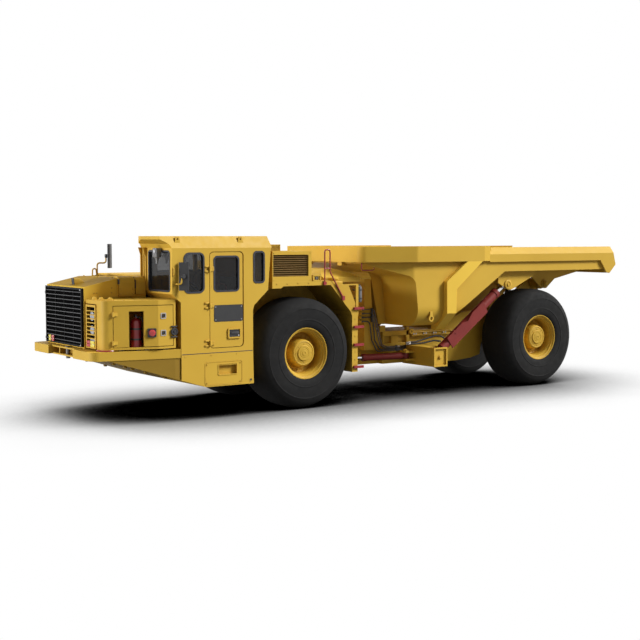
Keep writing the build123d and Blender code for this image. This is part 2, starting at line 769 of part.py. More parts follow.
def handrail():
    top_z = 2500
    loop = bent_tube([(front(-350), rail_y, fender_top_z - 60), (front(-350), rail_y, top_z),
                      (front(-452), rail_y, top_z), (front(-452), rail_y, 2150),
                      (front(-712), rail_y, 1730)], 40, 11)
    cross = bar((front(-350), rail_y, 2203), (front(-452), rail_y, 2203), 10)
    feet = block(front(-740), front(-690), fender_outer_y, rail_y + 14, 1690, 1760)
    feet += block(front(-375), front(-325), fender_outer_y, rail_y + 14, fender_top_z - 60, fender_top_z - 10)
    return loop + cross + feet


nodes["handrails"] = both_sides(handrail() + rungs())

# housing with louvres behind the cab, and its low partner on the right
cooler_x = (front(-106), front(628))
cooler_z = (fender_top_z, 2480)


def cooler_housing():
    body = block(cooler_x[0], cooler_x[1], fender_inner_y, fender_outer_y, cooler_z[0], cooler_z[1])
    body -= block(cooler_x[0] + 60, cooler_x[1] - 14, fender_outer_y - 70, fender_outer_y + 1,
                  cooler_z[0] + 85, cooler_z[1] - 55)
    return body


def cooler_louvres():
    x0 = cooler_x[0] + 60
    x1 = cooler_x[1] - 14
    z0 = cooler_z[0] + 85
    z1 = cooler_z[1] - 55
    count = 10
    pitch = (z1 - z0) / count
    body = block(x0 + 2, x1 - 2, fender_outer_y - 68, fender_outer_y - 60, z0 + 2, z1 - 2)
    for row in range(count):
        low = z0 + pitch * row
        slat = [(fender_outer_y - 62, low + 0.75 * pitch), (fender_outer_y - 12, low + 0.1 * pitch),
                (fender_outer_y - 8, low + 0.1 * pitch + 5), (fender_outer_y - 62, low + 0.75 * pitch + 7)]
        body += cross_plate(slat, x0 + 2, x1 - 2)
    return body


nodes["cooler_housing"] = cooler_housing()
nodes["cooler_louvres"] = cooler_louvres()
nodes["air_cleaner_box"] = block(front(-150), front(560), -fender_outer_y + 60, -fender_inner_y - 20,
                                 fender_top_z, 2300)


# tank across the frame behind the axle; its crowned top reaches out over both fenders
tank_half = 500
crown_half = 900
crown_z = 1965


def rear_tank():
    body = side_plate([(front(-560), 1500), (front(-560), crown_z), (front(-1260), crown_z),
                       (front(-1260), 1560), (front(-1180), 1500)], -tank_half, tank_half)
    arch = make_face(ThreePointArc((front(-600), 2060), (front(-1000), 2180), (front(-1340), 2030)).edges()
                     + Polyline((front(-1340), 2030), (front(-1340), crown_z), (front(-600), crown_z),
                                (front(-600), 2060)).edges())
    crown = extrude(Plane.XZ.offset(crown_half) * arch, amount=2 * crown_half, dir=(0, 1, 0))
    crown &= cross_plate([(-crown_half, crown_z), (-crown_half, 2040), (-tank_half, 2190),
                          (tank_half, 2190), (crown_half, 2040), (crown_half, crown_z)],
                         front(-1400), front(-500))
    return body + crown


nodes["rear_tank"] = rear_tank()

# ======================================================================= mirrors
def mirror_head(x, y, z, turn, width, height):
    head = Pos(x, y, z) * Rot(0, 0, turn) * Box(40, width, height)
    return fillet(head.edges().filter_by(Axis.Z), 16)


def mirrors():
    left = mirror_head(front(2232), body_half_width + 77, 2130, 44, 152, 410)
    right = mirror_head(front(2400), -730, 2400, -36, 200, 380)
    return left, right


left_mirror, right_mirror = mirrors()
nodes["mirror_heads"] = Compound([left_mirror, right_mirror])
arm_y = body_half_width + 95
left_arm = bent_tube([(front(2330), body_half_width, 2020), (front(2330), arm_y - 50, 2020),
                      (front(2290), arm_y, 2020), (front(2270), arm_y, 2110)], 22, 11)
right_arm = bent_tube([(front(2560), -850, hood_top_z), (front(2560), -850, 2290), (front(2440), -780, 2290),
                       (front(2440), -780, 2400)], 40, 12)
nodes["mirror_arms"] = Compound([left_arm, right_arm])

# ==================================================================== rear frame
rear_rail_y = 430
tower_half = 300
upper_tower_half = 500
upper_tower_z = 1985
ear_plate = 50
dump_tube_half = 640
dump_pin_radius = 45
tower_x = (hitch_x - 400, hitch_x - 240)
swing_x = hitch_x - 690        # rails stop here beside the steering cylinders
swing_z = 765
bracket_x = (rear(2240), rear(2540))
bracket_z = (490, 815)
hoist_pocket_half = hoist_barrel_radius + 10
bracket_y = hoist_y + hoist_pocket_half + 40
hoist_foot = (rear(2360), 720)
hoist_pin = (rear(800), 1857)
pivot_x = rear(-dump_pivot_setback)


def rear_frame():
    profile = [(swing_x, 500), (swing_x, swing_z), (tower_x[0] + frame_plate, swing_z),
               (tower_x[0] + frame_plate, 1430), (tower_x[0] - 60, 1430),
               (tower_x[0] - 160, 1050), (rear(1850), 1050), (rear(1150), 1330), (rear(250), 1420),
               (pivot_x + 130, 1900), (pivot_x - 90, 1900), (pivot_x - 120, 1700), (rear(-450), 1230),
               (rear(450), 1130), (rear(1250), 700), (rear(1500), 500)]
    rail = side_plate(profile, rear_rail_y - frame_plate, rear_rail_y)
    body = both_sides(rail)
    body += block(rear(1700), swing_x, -rear_rail_y, rear_rail_y, 520, 560)
    body += block(rear(1700), tower_x[0], -rear_rail_y, rear_rail_y, 1010, 1050)
    body += block(swing_x - frame_plate, tower_x[0], -rear_rail_y, rear_rail_y, swing_z, swing_z + 20)
    body += block(swing_x - frame_plate, swing_x, -rear_rail_y, rear_rail_y, 500, swing_z + 20)
    # foot of the hitch tower, narrower than the rails so that the steering cylinders swing clear
    body += both_sides(block(swing_x - 1, tower_x[0] + 1, tower_half - frame_plate, tower_half,
                             500, swing_z + 1))
    body += both_sides(block(tower_x[0], tower_x[1], tower_half - frame_plate, tower_half,
                             500, swing_z + 20))
    body += block(tower_x[1] - frame_plate, tower_x[1], -tower_half, tower_half, 500, swing_z)
    # upper tower: a front wall, a cross wall at the rails' ends, a top and two tapered sides
    wide = upper_tower_half
    side = [(tower_x[1], swing_z), (tower_x[1], upper_tower_z), (tower_x[0] + 30, upper_tower_z),
            (tower_x[0] - 5, 1463), (tower_x[0] - 71, 1184), (tower_x[0] - 110, 1050),
            (tower_x[0] - 110, swing_z)]
    body += both_sides(side_plate(side, wide - frame_plate, wide))
    body += block(tower_x[1] - frame_plate, tower_x[1], -wide, wide, swing_z, upper_tower_z)
    body += block(tower_x[0], tower_x[0] + frame_plate, -wide, wide, swing_z, 1430)
    body += block(tower_x[0], tower_x[1], -wide, wide, swing_z, swing_z + 20)
    body += block(tower_x[0] + 30, tower_x[1], -wide, wide, upper_tower_z - 25, upper_tower_z)
    # saddle over the axle
    for x in (rear(-260), rear(220)):
        body += block(x, x + frame_plate, -rear_rail_y, rear_rail_y, 1190, 1290)
    body += both_sides(block(rear(-95), rear(95), rear_rail_y - frame_plate, rear_rail_y + 60, axle_z, 1290))
    body -= cross_pin(rear_axle_x, axle_z, -700, 700, axle_radius)
    # ears that hold the front lugs above and below
    for z in (upper_hitch_z, lower_hitch_z):
        for level in (z - lug_plate / 2 - lug_gap - ear_plate, z + lug_plate / 2 + lug_gap):
            ear = upright(hitch_x, 0, level, level + ear_plate, lug_radius)
            ear += block(tower_x[1] - 10, hitch_x, -lug_radius, lug_radius, level, level + ear_plate)
            body += ear - upright(hitch_x, 0, level - 1, level + ear_plate + 1, hitch_pin_radius)
    # cross tube at the dump hinge
    body += cross_pin(pivot_x, dump_pivot_z, -dump_tube_half, dump_tube_half, 100)
    return body


nodes["rear_frame"] = rear_frame()
hitch_pins = []
for z in (upper_hitch_z, lower_hitch_z):
    half = lug_plate / 2 + lug_gap + ear_plate
    hitch_pins.append(upright(hitch_x, 0, z - half, z + half + 14, hitch_pin_radius))
dump_pins = both_sides(cross_pin(pivot_x, dump_pivot_z, dump_tube_half, 770, dump_pin_radius))
nodes["frame_pins"] = Compound(hitch_pins + dump_pins.solids())


# outboard brackets that carry the hoist feet and the steering barrels
def side_bracket():
    x0, x1 = bracket_x
    z0, z1 = bracket_z
    web_y = bracket_y - 30
    body = block(x0, x1, rear_rail_y, bracket_y, z0, z1)
    body -= block(x0 + 25, x1 - 25, web_y, bracket_y + 1, z0 + 25, z1 - 25)
    body -= block(x0 + 25, x1 - 25, rear_rail_y + 40, 950, z0 + 25, z1 - 25)
    # open pocket for the hoist barrel's foot
    body -= block(x0 - 1, x1 - 25, hoist_y - hoist_pocket_half, hoist_y + hoist_pocket_half,
                  z0 + 120, z1 + 1)
    # the steering barrel's eye sits between two plates
    ear = [(x1, 560), (x1, 760), (steer_barrel_pin[0] + 60, 740), (steer_barrel_pin[0] + 60, 580)]
    eye_half = 0.8 * steer_eye_radius
    for low, high in ((steer_z - eye_half - 36, steer_z - eye_half - 6),
                      (steer_z + eye_half + 6, steer_z + eye_half + 36)):
        body += plan_plate(ear, low, high)
    return body


nodes["side_brackets"] = both_sides(side_bracket())

# ===================================================================== cylinders
# barrel and rod along +X from the base pin at the origin, both pins along Z
def cylinder_barrel(length, radius, rod_radius, eye_radius):
    start = 1.3 * eye_radius
    body = Rot(0, 90, 0) * Pos(0, 0, (start + length) / 2) * Cylinder(radius, length - start)
    body += Rot(0, 90, 0) * Pos(0, 0, start / 2) * Cylinder(0.7 * eye_radius, start + 4)
    body += Rot(0, 90, 0) * Pos(0, 0, length - 35) * Cylinder(1.12 * radius, 70)
    body += Cylinder(eye_radius, 1.6 * eye_radius)
    bore_start = 1.5 * eye_radius
    bore = Pos(0, 0, (bore_start + length + 2) / 2) * Cylinder(rod_radius + running_clearance,
                                                               length + 2 - bore_start)
    return body - Rot(0, 90, 0) * bore


def cylinder_rod(start, pin, radius, eye_radius):
    body = Rot(0, 90, 0) * Pos(0, 0, (start + pin) / 2) * Cylinder(radius, pin - start)
    return body + Pos(pin, 0, 0) * Cylinder(eye_radius, 1.6 * eye_radius)


steer_length = hypot(steer_rod_pin[0] - steer_barrel_pin[0], steer_rod_pin[1] - steer_barrel_pin[1])
steer_barrel_length = 850
steer_stroke_in = 340
steer_place = Plane(origin=(steer_barrel_pin[0], steer_barrel_pin[1], steer_z),
                    x_dir=(steer_rod_pin[0] - steer_barrel_pin[0], steer_rod_pin[1] - steer_barrel_pin[1], 0),
                    z_dir=(0, 0, 1))
steer_barrel = steer_place * cylinder_barrel(steer_barrel_length, steer_barrel_radius, steer_rod_radius,
                                             steer_eye_radius)
steer_rod = steer_place * cylinder_rod(1.6 * steer_eye_radius + steer_stroke_in + cylinder_gap,
                                       steer_length, steer_rod_radius, steer_eye_radius)

hoist_length = hypot(hoist_pin[0] - hoist_foot[0], hoist_pin[1] - hoist_foot[1])
hoist_barrel_length = hoist_length - 235
hoist_place = Plane(origin=(hoist_foot[0], hoist_y, hoist_foot[1]),
                    x_dir=(hoist_pin[0] - hoist_foot[0], 0, hoist_pin[1] - hoist_foot[1]),
                    z_dir=(0, 1, 0))


# the barrel carries a flat guard on its outer side
def hoist_barrel_part():
    body = cylinder_barrel(hoist_barrel_length, hoist_barrel_radius, hoist_rod_radius, hoist_eye_radius)
    guard = [(266, -108), (1265, -108), (1300, 70), (1288, 108), (975, 108), (804, 50), (687, 108),
             (266, 108)]
    body += plan_plate(guard, hoist_barrel_radius - 4, hoist_barrel_radius + 12)
    return body


hoist_barrel = hoist_place * hoist_barrel_part()
hoist_rod = hoist_place * cylinder_rod(1.6 * hoist_eye_radius + cylinder_gap, hoist_length,
                                       hoist_rod_radius, hoist_eye_radius)
for name, shape in (("steering_barrel", steer_barrel), ("steering_rod", steer_rod),
                    ("hoist_barrel", hoist_barrel), ("hoist_rod", hoist_rod)):
    nodes[f"left_{name}"] = shape
    nodes[f"right_{name}"] = mirror(shape, about=Plane.XZ)

# ====================================================================== dump box
tail_top_z = 2400
floor_z_tail = 2095
rim_tail_x = rear(1380)
plan_radius = 150              # upright corners of the hull and of its rim


knee_radius = 200              # where the front wall turns forward under the rim
nose_half = 450                # half width of the nose that stands ahead of the front wall


# side outline of the hull; the hollow's outline runs on past the top and the tail
def hull_profile(nose, lean, past=0):
    knee = 2262 - 212 * (rear(3905) - nose) / (rear(3905) - rear(3130))
    top = box_top_z - 20 + past
    face = Polygon((rear(3905), top), (rear(3905), 2262), (nose, knee), (nose - lean, box_bottom_z),
                   (rear(2420), box_bottom_z), (rear(980), floor_z_tail),
                   (tail_x + 130 - past, floor_z_tail), (tail_x + 60 - past, top), align=None)
    corner = face.vertices().sort_by_distance(Vector(nose, knee))[0]
    return fillet(corner, knee_radius)


def hull_section(inset):
    low = box_bottom_z + inset
    half = box_half_width - inset
    face = Polygon((-half, low), (half, low), (half, 3000), (-half, 3000), align=None)
    return fillet(face.vertices().group_by(Axis.Y)[0], box_corner_radius - inset)


def hull_plan(inset):
    face = Polygon((rear(3905), -1040), (rear(3905), 1040), (rear(3058), box_half_width),
                   (tail_x - 500, box_half_width), (tail_x - 500, -box_half_width),
                   (rear(3058), -box_half_width), align=None)
    face = fillet(face.vertices().group_by(Axis.X)[-1] + face.vertices().group_by(Axis.X)[-2],
                  plan_radius)
    return offset(face, -inset, kind=Kind.INTERSECTION) if inset else face


def hull_solid(nose, lean, half_width, inset=0):
    past = 300 if inset else 0
    side = hull_profile(nose, lean, past)
    if inset:
        side = offset(side, -inset, kind=Kind.INTERSECTION)
    half = half_width - inset
    body = extrude(Plane.XZ.offset(half) * side, amount=2 * half, dir=(0, 1, 0))
    span = overall_length
    body &= extrude(Plane.YZ.offset(-span) * hull_section(inset), amount=2 * span, dir=(1, 0, 0))
    body &= extrude(Plane.XY.offset(500) * hull_plan(inset), amount=3000, dir=(0, 0, 1))
    return body


# the wide hull and its nose: front wall at the knee, lean to the floor, half width
hull_parts = ((rear(3030), 90, box_half_width), (rear(3280), 190, nose_half))
hull_outer = hull_solid(*hull_parts[0]) + hull_solid(*hull_parts[1])


def dump_box():
    body = hull_outer
    for nose, lean, half_width in hull_parts:
        body -= hull_solid(nose, lean, half_width, box_plate)
    body -= block(tail_x - 500, rim_tail_x - 60, -1400, 1400, tail_top_z, 2700)
    return body


nodes["dump_box"] = dump_box()


# band round the top of the hull, drawn in at its rear ends
def box_rim():
    low = box_top_z - rim_depth
    plan = [(rear(3985), -1100), (rear(3985), 1100), (rear(3060), rim_half_width),
            (rear(1550), rim_half_width), (rim_tail_x, rim_half_width - 45),
            (rim_tail_x, -rim_half_width + 45), (rear(1550), -rim_half_width),
            (rear(3060), -rim_half_width)]
    face = Polygon(*plan, align=None)
    face = fillet(face.vertices().group_by(Axis.X)[-1] + face.vertices().group_by(Axis.X)[-2],
                  plan_radius)
    body = extrude(Plane.XY.offset(low) * face, amount=rim_depth, dir=(0, 0, 1))
    body -= extrude(Plane.XY.offset(low - 1) * hull_plan(0), amount=rim_depth - 19, dir=(0, 0, 1))
    body -= extrude(Plane.XY.offset(low - 1) * hull_plan(box_plate), amount=rim_depth + 2,
                    dir=(0, 0, 1))
    return body


def tail_rails():
    section = [(box_half_width + 1, 2265), (1405, 2265), (1405, 2400), (1310, 2520), (1285, 2520),
               (box_half_width - box_plate, tail_top_z), (box_half_width + 1, tail_top_z)]
    rail = cross_plate(section, tail_x + 60, rim_tail_x - 1)
    end = [(tail_x + 424, 2265), (tail_x + 255, 2040), (tail_x + 170, 2020), (tail_x, 2180),
           (tail_x + 62, 2390), (tail_x + 62, 2265)]
    rail += side_plate(end, box_half_width + 1, 1405)
    return both_sides(rail)


# beams, hinge lugs and hoist lugs under the floor
def under_frame():
    lug_y = (690, 730)
    lug = [(rear(-150), floor_z_tail), (pivot_x + 70, 1745), (pivot_x - 60, 1735),
           (pivot_x - 280, 1909), (tail_x + 200, 2060), (tail_x + 200, floor_z_tail)]
    body = side_plate(lug, lug_y[0], lug_y[1])
    body += cross_pin(pivot_x, dump_pivot_z, lug_y[0] - 10, lug_y[1] + 20, 85)
    body -= cross_pin(pivot_x, dump_pivot_z, lug_y[0] - 20, lug_y[1] + 40,
                      dump_pin_radius + running_clearance)
    eye_half = 0.8 * hoist_eye_radius
    hoist_lug = [(rear(1030), 1890), (rear(780), 1765), (rear(700), 1765), (rear(110), 2020),
                 (rear(110), 2150), (rear(1030), 2150)]
    for y in (hoist_y - eye_half - 6 - 25, hoist_y + eye_half + 6):
        body += side_plate(hoist_lug, y, y + 25) - hull_outer
    return body


cross_beam = block(tail_x + 130, tail_x + 240, -box_half_width, box_half_width, 2025, floor_z_tail)


# straps up the hull's sides and one lifting eye each side
def side_strap():
    strap = [(rear(1941), box_top_z - rim_depth - 1), (rear(1594), box_top_z - rim_depth - 1),
             (rear(2183), 1819), (rear(2197), 1406), (rear(2404), 1406), (rear(2409), 1950)]
    body = side_plate(strap, box_half_width - 200, rim_half_width)
    low = [(rim_half_width, 1406), (1140, 1112), (1040, 1112), (1040, 1406)]
    body += cross_plate(low, rear(2197), rear(2404))
    return body - hull_outer


eye_x = rear(2675)
eye_y = box_half_width - 15
eye_z = 1330


def lifting_eye():
    place = Pos(eye_x, eye_y, eye_z) * Rot(90, 0, 0)
    eye = place * (Cylinder(55, 30) + Pos(0, 60, 0) * Box(60, 120, 30) - Cylinder(28, 40))
    return eye - hull_outer


nodes["box_rim"] = box_rim() + tail_rails() - nodes["dump_box"]
nodes["side_straps"] = both_sides(side_strap())
nodes["box_under_frame"] = both_sides(under_frame()) + cross_beam + both_sides(lifting_eye())

# ================================================================ pipes and hoses
line_x = tower_x[1] + 100
line_y = upper_tower_half + 35
line_radius = {"pipe": 8, "hose": 10}
line_bend = {"pipe": 50, "hose": 80}
# kind, height at the tower, first knee, second knee and its height, height at the bracket
lines = (("pipe", 1468, hitch_x - 418, hitch_x - 590, 850, 805),
         ("pipe", 1400, hitch_x - 397, hitch_x - 550, 850, 785),
         ("hose", 1334, hitch_x - 390, hitch_x - 440, 930, 762),
         ("hose", 1266, hitch_x - 325, hitch_x - 375, 930, 738))


# one line from the tower's ear to the bracket: out, down and along
def service_line(kind, rise, knee_x, foot_x, foot_z, drop):
    points = [(line_x, line_y, rise), (knee_x, line_y, rise), (foot_x, line_y, foot_z),
              (foot_x - 110, line_y, drop), (bracket_x[1], line_y, drop)]
    return bent_tube(points, line_bend[kind], line_radius[kind])


# ear on the tower's side, with a block for each line
ear = block(tower_x[1] - 1, line_x + 20, upper_tower_half - frame_plate, upper_tower_half, 1235, 1500)
for kind, rise, *route in lines:
    ear += block(line_x, line_x + 20, upper_tower_half - 1, line_y + 20, rise - 18, rise + 18)
nodes["rear_frame"] += ear
for node, kind in (("steel_pipes", "pipe"), ("hydraulic_hoses", "hose")):
    nodes[node] = Compound([service_line(*line) for line in lines if line[0] == kind])

os.makedirs("parts", exist_ok=True)
for name, shape in nodes.items():
    shape.label = name
    export_step(shape, f"parts/{name}.step")
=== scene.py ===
import bpy
import json
import math
from mathutils import Matrix, Vector


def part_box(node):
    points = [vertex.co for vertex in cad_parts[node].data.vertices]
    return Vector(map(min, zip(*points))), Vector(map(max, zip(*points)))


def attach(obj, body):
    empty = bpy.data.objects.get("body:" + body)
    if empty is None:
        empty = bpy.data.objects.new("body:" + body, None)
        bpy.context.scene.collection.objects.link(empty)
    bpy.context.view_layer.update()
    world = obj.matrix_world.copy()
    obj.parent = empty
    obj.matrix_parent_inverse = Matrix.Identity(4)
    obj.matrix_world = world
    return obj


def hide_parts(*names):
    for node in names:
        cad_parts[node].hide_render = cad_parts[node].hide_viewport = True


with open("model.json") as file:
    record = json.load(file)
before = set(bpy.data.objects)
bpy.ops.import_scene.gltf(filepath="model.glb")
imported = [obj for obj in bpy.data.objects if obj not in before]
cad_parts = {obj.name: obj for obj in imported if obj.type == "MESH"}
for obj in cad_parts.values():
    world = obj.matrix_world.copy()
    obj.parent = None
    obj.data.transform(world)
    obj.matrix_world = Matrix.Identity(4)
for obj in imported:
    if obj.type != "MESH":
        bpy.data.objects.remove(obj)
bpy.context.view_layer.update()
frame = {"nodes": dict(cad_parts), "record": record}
nodes = frame["nodes"]
print("frame loaded", len(nodes), "nodes")

# camera, made first
cameraSpec = {
    "place": (12.336, 16.486, 2.707),
    "target": (0.583, 0.0, 1.281),
    "lens": 66.66,
    "sensor": 36.0,
    "clip": (0.1, 200),
}


def makeCamera(spec):
    camData = bpy.data.cameras.new("truckCamera")
    camData.lens = spec["lens"]
    camData.sensor_width = spec["sensor"]
    camData.clip_start, camData.clip_end = spec["clip"]
    cam = bpy.data.objects.new("truckCamera", camData)
    bpy.context.scene.collection.objects.link(cam)
    cam.location = spec["place"]
    cam.rotation_mode = "QUATERNION"
    aim = Vector(spec["target"]) - Vector(spec["place"])
    cam.rotation_quaternion = aim.to_track_quat("-Z", "Y")
    bpy.context.scene.camera = cam


makeCamera(cameraSpec)
print("camera ready")

# finishes: colours are linear, lengths in metres
commonLook = {
    "metal": 0.0, "coat": 0.0, "gloss": 0.5, "sheen": 0.0, "edgeAmount": 0.4, "shadeAndDustAmount": 0.4,
    "facingShade": None, "grain": 0, "grainHeight": 0.001, "stretch": (1, 1, 1), "ribs": 0, "weave": 0,
}
# "base" and "tone" mix in clouds; "edge" is the colour of worn edges and of a painted highlight along them,
# and the corner colour is painted shade with some dust
finishLooks = {
    "yellowPaint": {
        "slot": "yellow_paint", "base": (0.74, 0.465, 0.052), "tone": (0.68, 0.415, 0.043), "toneScale": 0.9,
        "edge": (0.93, 0.62, 0.14), "edgeSize": 0.006, "edgeAmount": 0.5,
        "shadeAndDust": (0.3, 0.145, 0.014), "shadeAndDustReach": 0.16, "shadeAndDustAmount": 0.62,
        "rough": (0.5, 0.62), "gloss": 0.28, "grain": 260, "grainHeight": 0.0006,
    },
    "rimPaint": {
        "slot": "yellow_paint", "base": (0.66, 0.415, 0.045), "tone": (0.58, 0.355, 0.036), "toneScale": 3,
        "edge": (0.95, 0.64, 0.16), "edgeSize": 0.004, "edgeAmount": 0.55,
        "shadeAndDust": (0.36, 0.15, 0.012), "shadeAndDustReach": 0.12, "shadeAndDustAmount": 0.7,
        "rough": (0.48, 0.6), "gloss": 0.28, "grain": 300, "grainHeight": 0.0005,
    },
    "blackPaint": {
        "slot": "black_paint", "base": (0.016, 0.016, 0.019), "tone": (0.024, 0.024, 0.027), "toneScale": 5,
        "edge": (0.07, 0.07, 0.075), "edgeSize": 0.004, "edgeAmount": 0.6,
        "shadeAndDust": (0.006, 0.006, 0.006), "shadeAndDustReach": 0.06, "shadeAndDustAmount": 0.5,
        "rough": (0.36, 0.5), "coat": 0.1, "grain": 340, "grainHeight": 0.0005,
    },
    "mirrorPlastic": {
        "slot": "black_paint", "base": (0.014, 0.014, 0.015), "tone": (0.019, 0.019, 0.02), "toneScale": 6,
        "edge": (0.06, 0.06, 0.06), "edgeSize": 0.004,
        "shadeAndDust": (0.01, 0.01, 0.01), "shadeAndDustReach": 0.05,
        "rough": (0.42, 0.55), "grain": 900, "grainHeight": 0.0008,
    },
    "redPaint": {
        "slot": "red_paint", "base": (0.36, 0.014, 0.022), "tone": (0.29, 0.01, 0.016), "toneScale": 4,
        "edge": (0.5, 0.05, 0.05), "edgeSize": 0.003, "edgeAmount": 0.5,
        "shadeAndDust": (0.12, 0.006, 0.008), "shadeAndDustReach": 0.06, "shadeAndDustAmount": 0.5,
        "rough": (0.3, 0.42), "coat": 0.25, "grain": 300, "grainHeight": 0.0004,
    },
    "cylinderPaint": {
        "slot": "cylinder_paint", "base": (0.25, 0.032, 0.026), "tone": (0.2, 0.025, 0.021), "toneScale": 4,
        "edge": (0.4, 0.12, 0.1), "edgeSize": 0.004, "edgeAmount": 0.45,
        "shadeAndDust": (0.1, 0.02, 0.015), "shadeAndDustReach": 0.1, "shadeAndDustAmount": 0.5,
        "rough": (0.42, 0.54), "gloss": 0.25, "grain": 260, "grainHeight": 0.0005,
    },
    "brightSteel": {
        "slot": "bright_steel", "base": (0.52, 0.52, 0.53), "tone": (0.4, 0.4, 0.41), "toneScale": 9,
        "edge": (0.75, 0.75, 0.76), "edgeSize": 0.003,
        "shadeAndDust": (0.16, 0.14, 0.11), "shadeAndDustReach": 0.05,
        "rough": (0.28, 0.42), "metal": 0.85, "grain": 420, "grainHeight": 0.0003, "stretch": (1, 1, 9),
    },
    "rodChrome": {
        "slot": "rod_chrome", "base": (0.72, 0.73, 0.76), "tone": (0.6, 0.61, 0.64), "toneScale": 12,
        "edge": (0.85, 0.85, 0.87), "edgeSize": 0.002, "edgeAmount": 0.3,
        "shadeAndDust": (0.3, 0.3, 0.3), "shadeAndDustReach": 0.04, "shadeAndDustAmount": 0.3,
        "rough": (0.1, 0.2), "metal": 1.0, "grain": 500, "grainHeight": 0.0001, "stretch": (6, 6, 1),
    },
    "tyreRubber": {
        "slot": "tyre_rubber", "base": (0.012, 0.012, 0.012), "tone": (0.017, 0.0165, 0.016),
        "toneScale": 2.4, "edge": (0.05, 0.05, 0.05), "edgeSize": 0.006,
        "shadeAndDust": (0.012, 0.012, 0.011), "shadeAndDustReach": 0.12,
        "rough": (0.76, 0.9), "gloss": 0.2, "grain": 700, "grainHeight": 0.0012,
    },
    "windowRubber": {
        "slot": "window_rubber", "base": (0.014, 0.016, 0.026), "tone": (0.02, 0.022, 0.032), "toneScale": 8,
        "edge": (0.06, 0.065, 0.085), "edgeSize": 0.005, "edgeAmount": 0.6,
        "shadeAndDust": (0.006, 0.006, 0.008), "shadeAndDustReach": 0.04, "shadeAndDustAmount": 0.3,
        "rough": (0.42, 0.55), "grain": 800, "grainHeight": 0.0006,
    },
    "hoseRubber": {
        "slot": "hose_rubber", "base": (0.016, 0.016, 0.018), "tone": (0.026, 0.026, 0.028), "toneScale": 14,
        "edge": (0.05, 0.05, 0.05), "edgeSize": 0.003, "edgeAmount": 0.3,
        "shadeAndDust": (0.03, 0.025, 0.018), "shadeAndDustReach": 0.05, "shadeAndDustAmount": 0.3,
        "rough": (0.5, 0.62), "grain": 900, "grainHeight": 0.0007,
    },
    "lampFace": {
        "slot": "lamp_face", "base": (0.5, 0.52, 0.57), "tone": (0.36, 0.38, 0.42), "toneScale": 20,
        "edge": (0.95, 0.95, 0.95), "edgeSize": 0.003,
        "shadeAndDust": (0.3, 0.3, 0.3), "shadeAndDustReach": 0.03, "shadeAndDustAmount": 0.3,
        "rough": (0.08, 0.16), "coat": 0.6, "ribs": 90,
    },
    "lampYellow": {
        "slot": "lamp_face", "base": (1.0, 0.86, 0.035), "tone": (0.95, 0.78, 0.03), "toneScale": 20,
        "edge": (1.0, 0.85, 0.3), "edgeSize": 0.003,
        "shadeAndDust": (0.5, 0.35, 0.02), "shadeAndDustReach": 0.02, "shadeAndDustAmount": 0.3,
        "rough": (0.12, 0.2), "coat": 0.6, "ribs": 140,
    },
    "lampRed": {
        "slot": "lamp_face", "base": (0.62, 0.02, 0.025), "tone": (0.5, 0.012, 0.015), "toneScale": 20,
        "edge": (0.8, 0.1, 0.1), "edgeSize": 0.003,
        "shadeAndDust": (0.2, 0.01, 0.01), "shadeAndDustReach": 0.02, "shadeAndDustAmount": 0.3,
        "rough": (0.12, 0.2), "coat": 0.6, "ribs": 140,
    },
    "lampGrey": {
        "slot": "console_plastic", "base": (0.2, 0.205, 0.21), "tone": (0.15, 0.152, 0.156), "toneScale": 9,
        "edge": (0.4, 0.4, 0.41), "edgeSize": 0.004, "edgeAmount": 0.5,
        "shadeAndDust": (0.08, 0.08, 0.08), "shadeAndDustReach": 0.05,
        "rough": (0.4, 0.52), "grain": 600, "grainHeight": 0.0006,
    },
    "consolePlastic": {
        "slot": "console_plastic", "base": (0.03, 0.03, 0.033), "tone": (0.042, 0.042, 0.045), "toneScale": 7,
        "edge": (0.09, 0.09, 0.09), "edgeSize": 0.004,
        "shadeAndDust": (0.014, 0.014, 0.014), "shadeAndDustReach": 0.08,
        "rough": (0.5, 0.64), "grain": 800, "grainHeight": 0.0009,
    },
    "engineIron": {
        "slot": "engine_iron", "base": (0.09, 0.088, 0.085), "tone": (0.06, 0.056, 0.05), "toneScale": 5,
        "edge": (0.2, 0.19, 0.18), "edgeSize": 0.005, "edgeAmount": 0.5,
        "shadeAndDust": (0.035, 0.027, 0.018), "shadeAndDustReach": 0.12, "shadeAndDustAmount": 0.6,
        "rough": (0.5, 0.7), "metal": 0.4, "grain": 180, "grainHeight": 0.0016,
    },
    "seatFabric": {
        "slot": "seat_fabric", "base": (0.03, 0.03, 0.034), "tone": (0.045, 0.045, 0.05), "toneScale": 12,
        "edge": (0.06, 0.06, 0.06), "edgeSize": 0.004, "edgeAmount": 0.2,
        "shadeAndDust": (0.012, 0.012, 0.013), "shadeAndDustReach": 0.05,
        "rough": (0.85, 0.95), "weave": 420, "sheen": 0.25,
    },
}
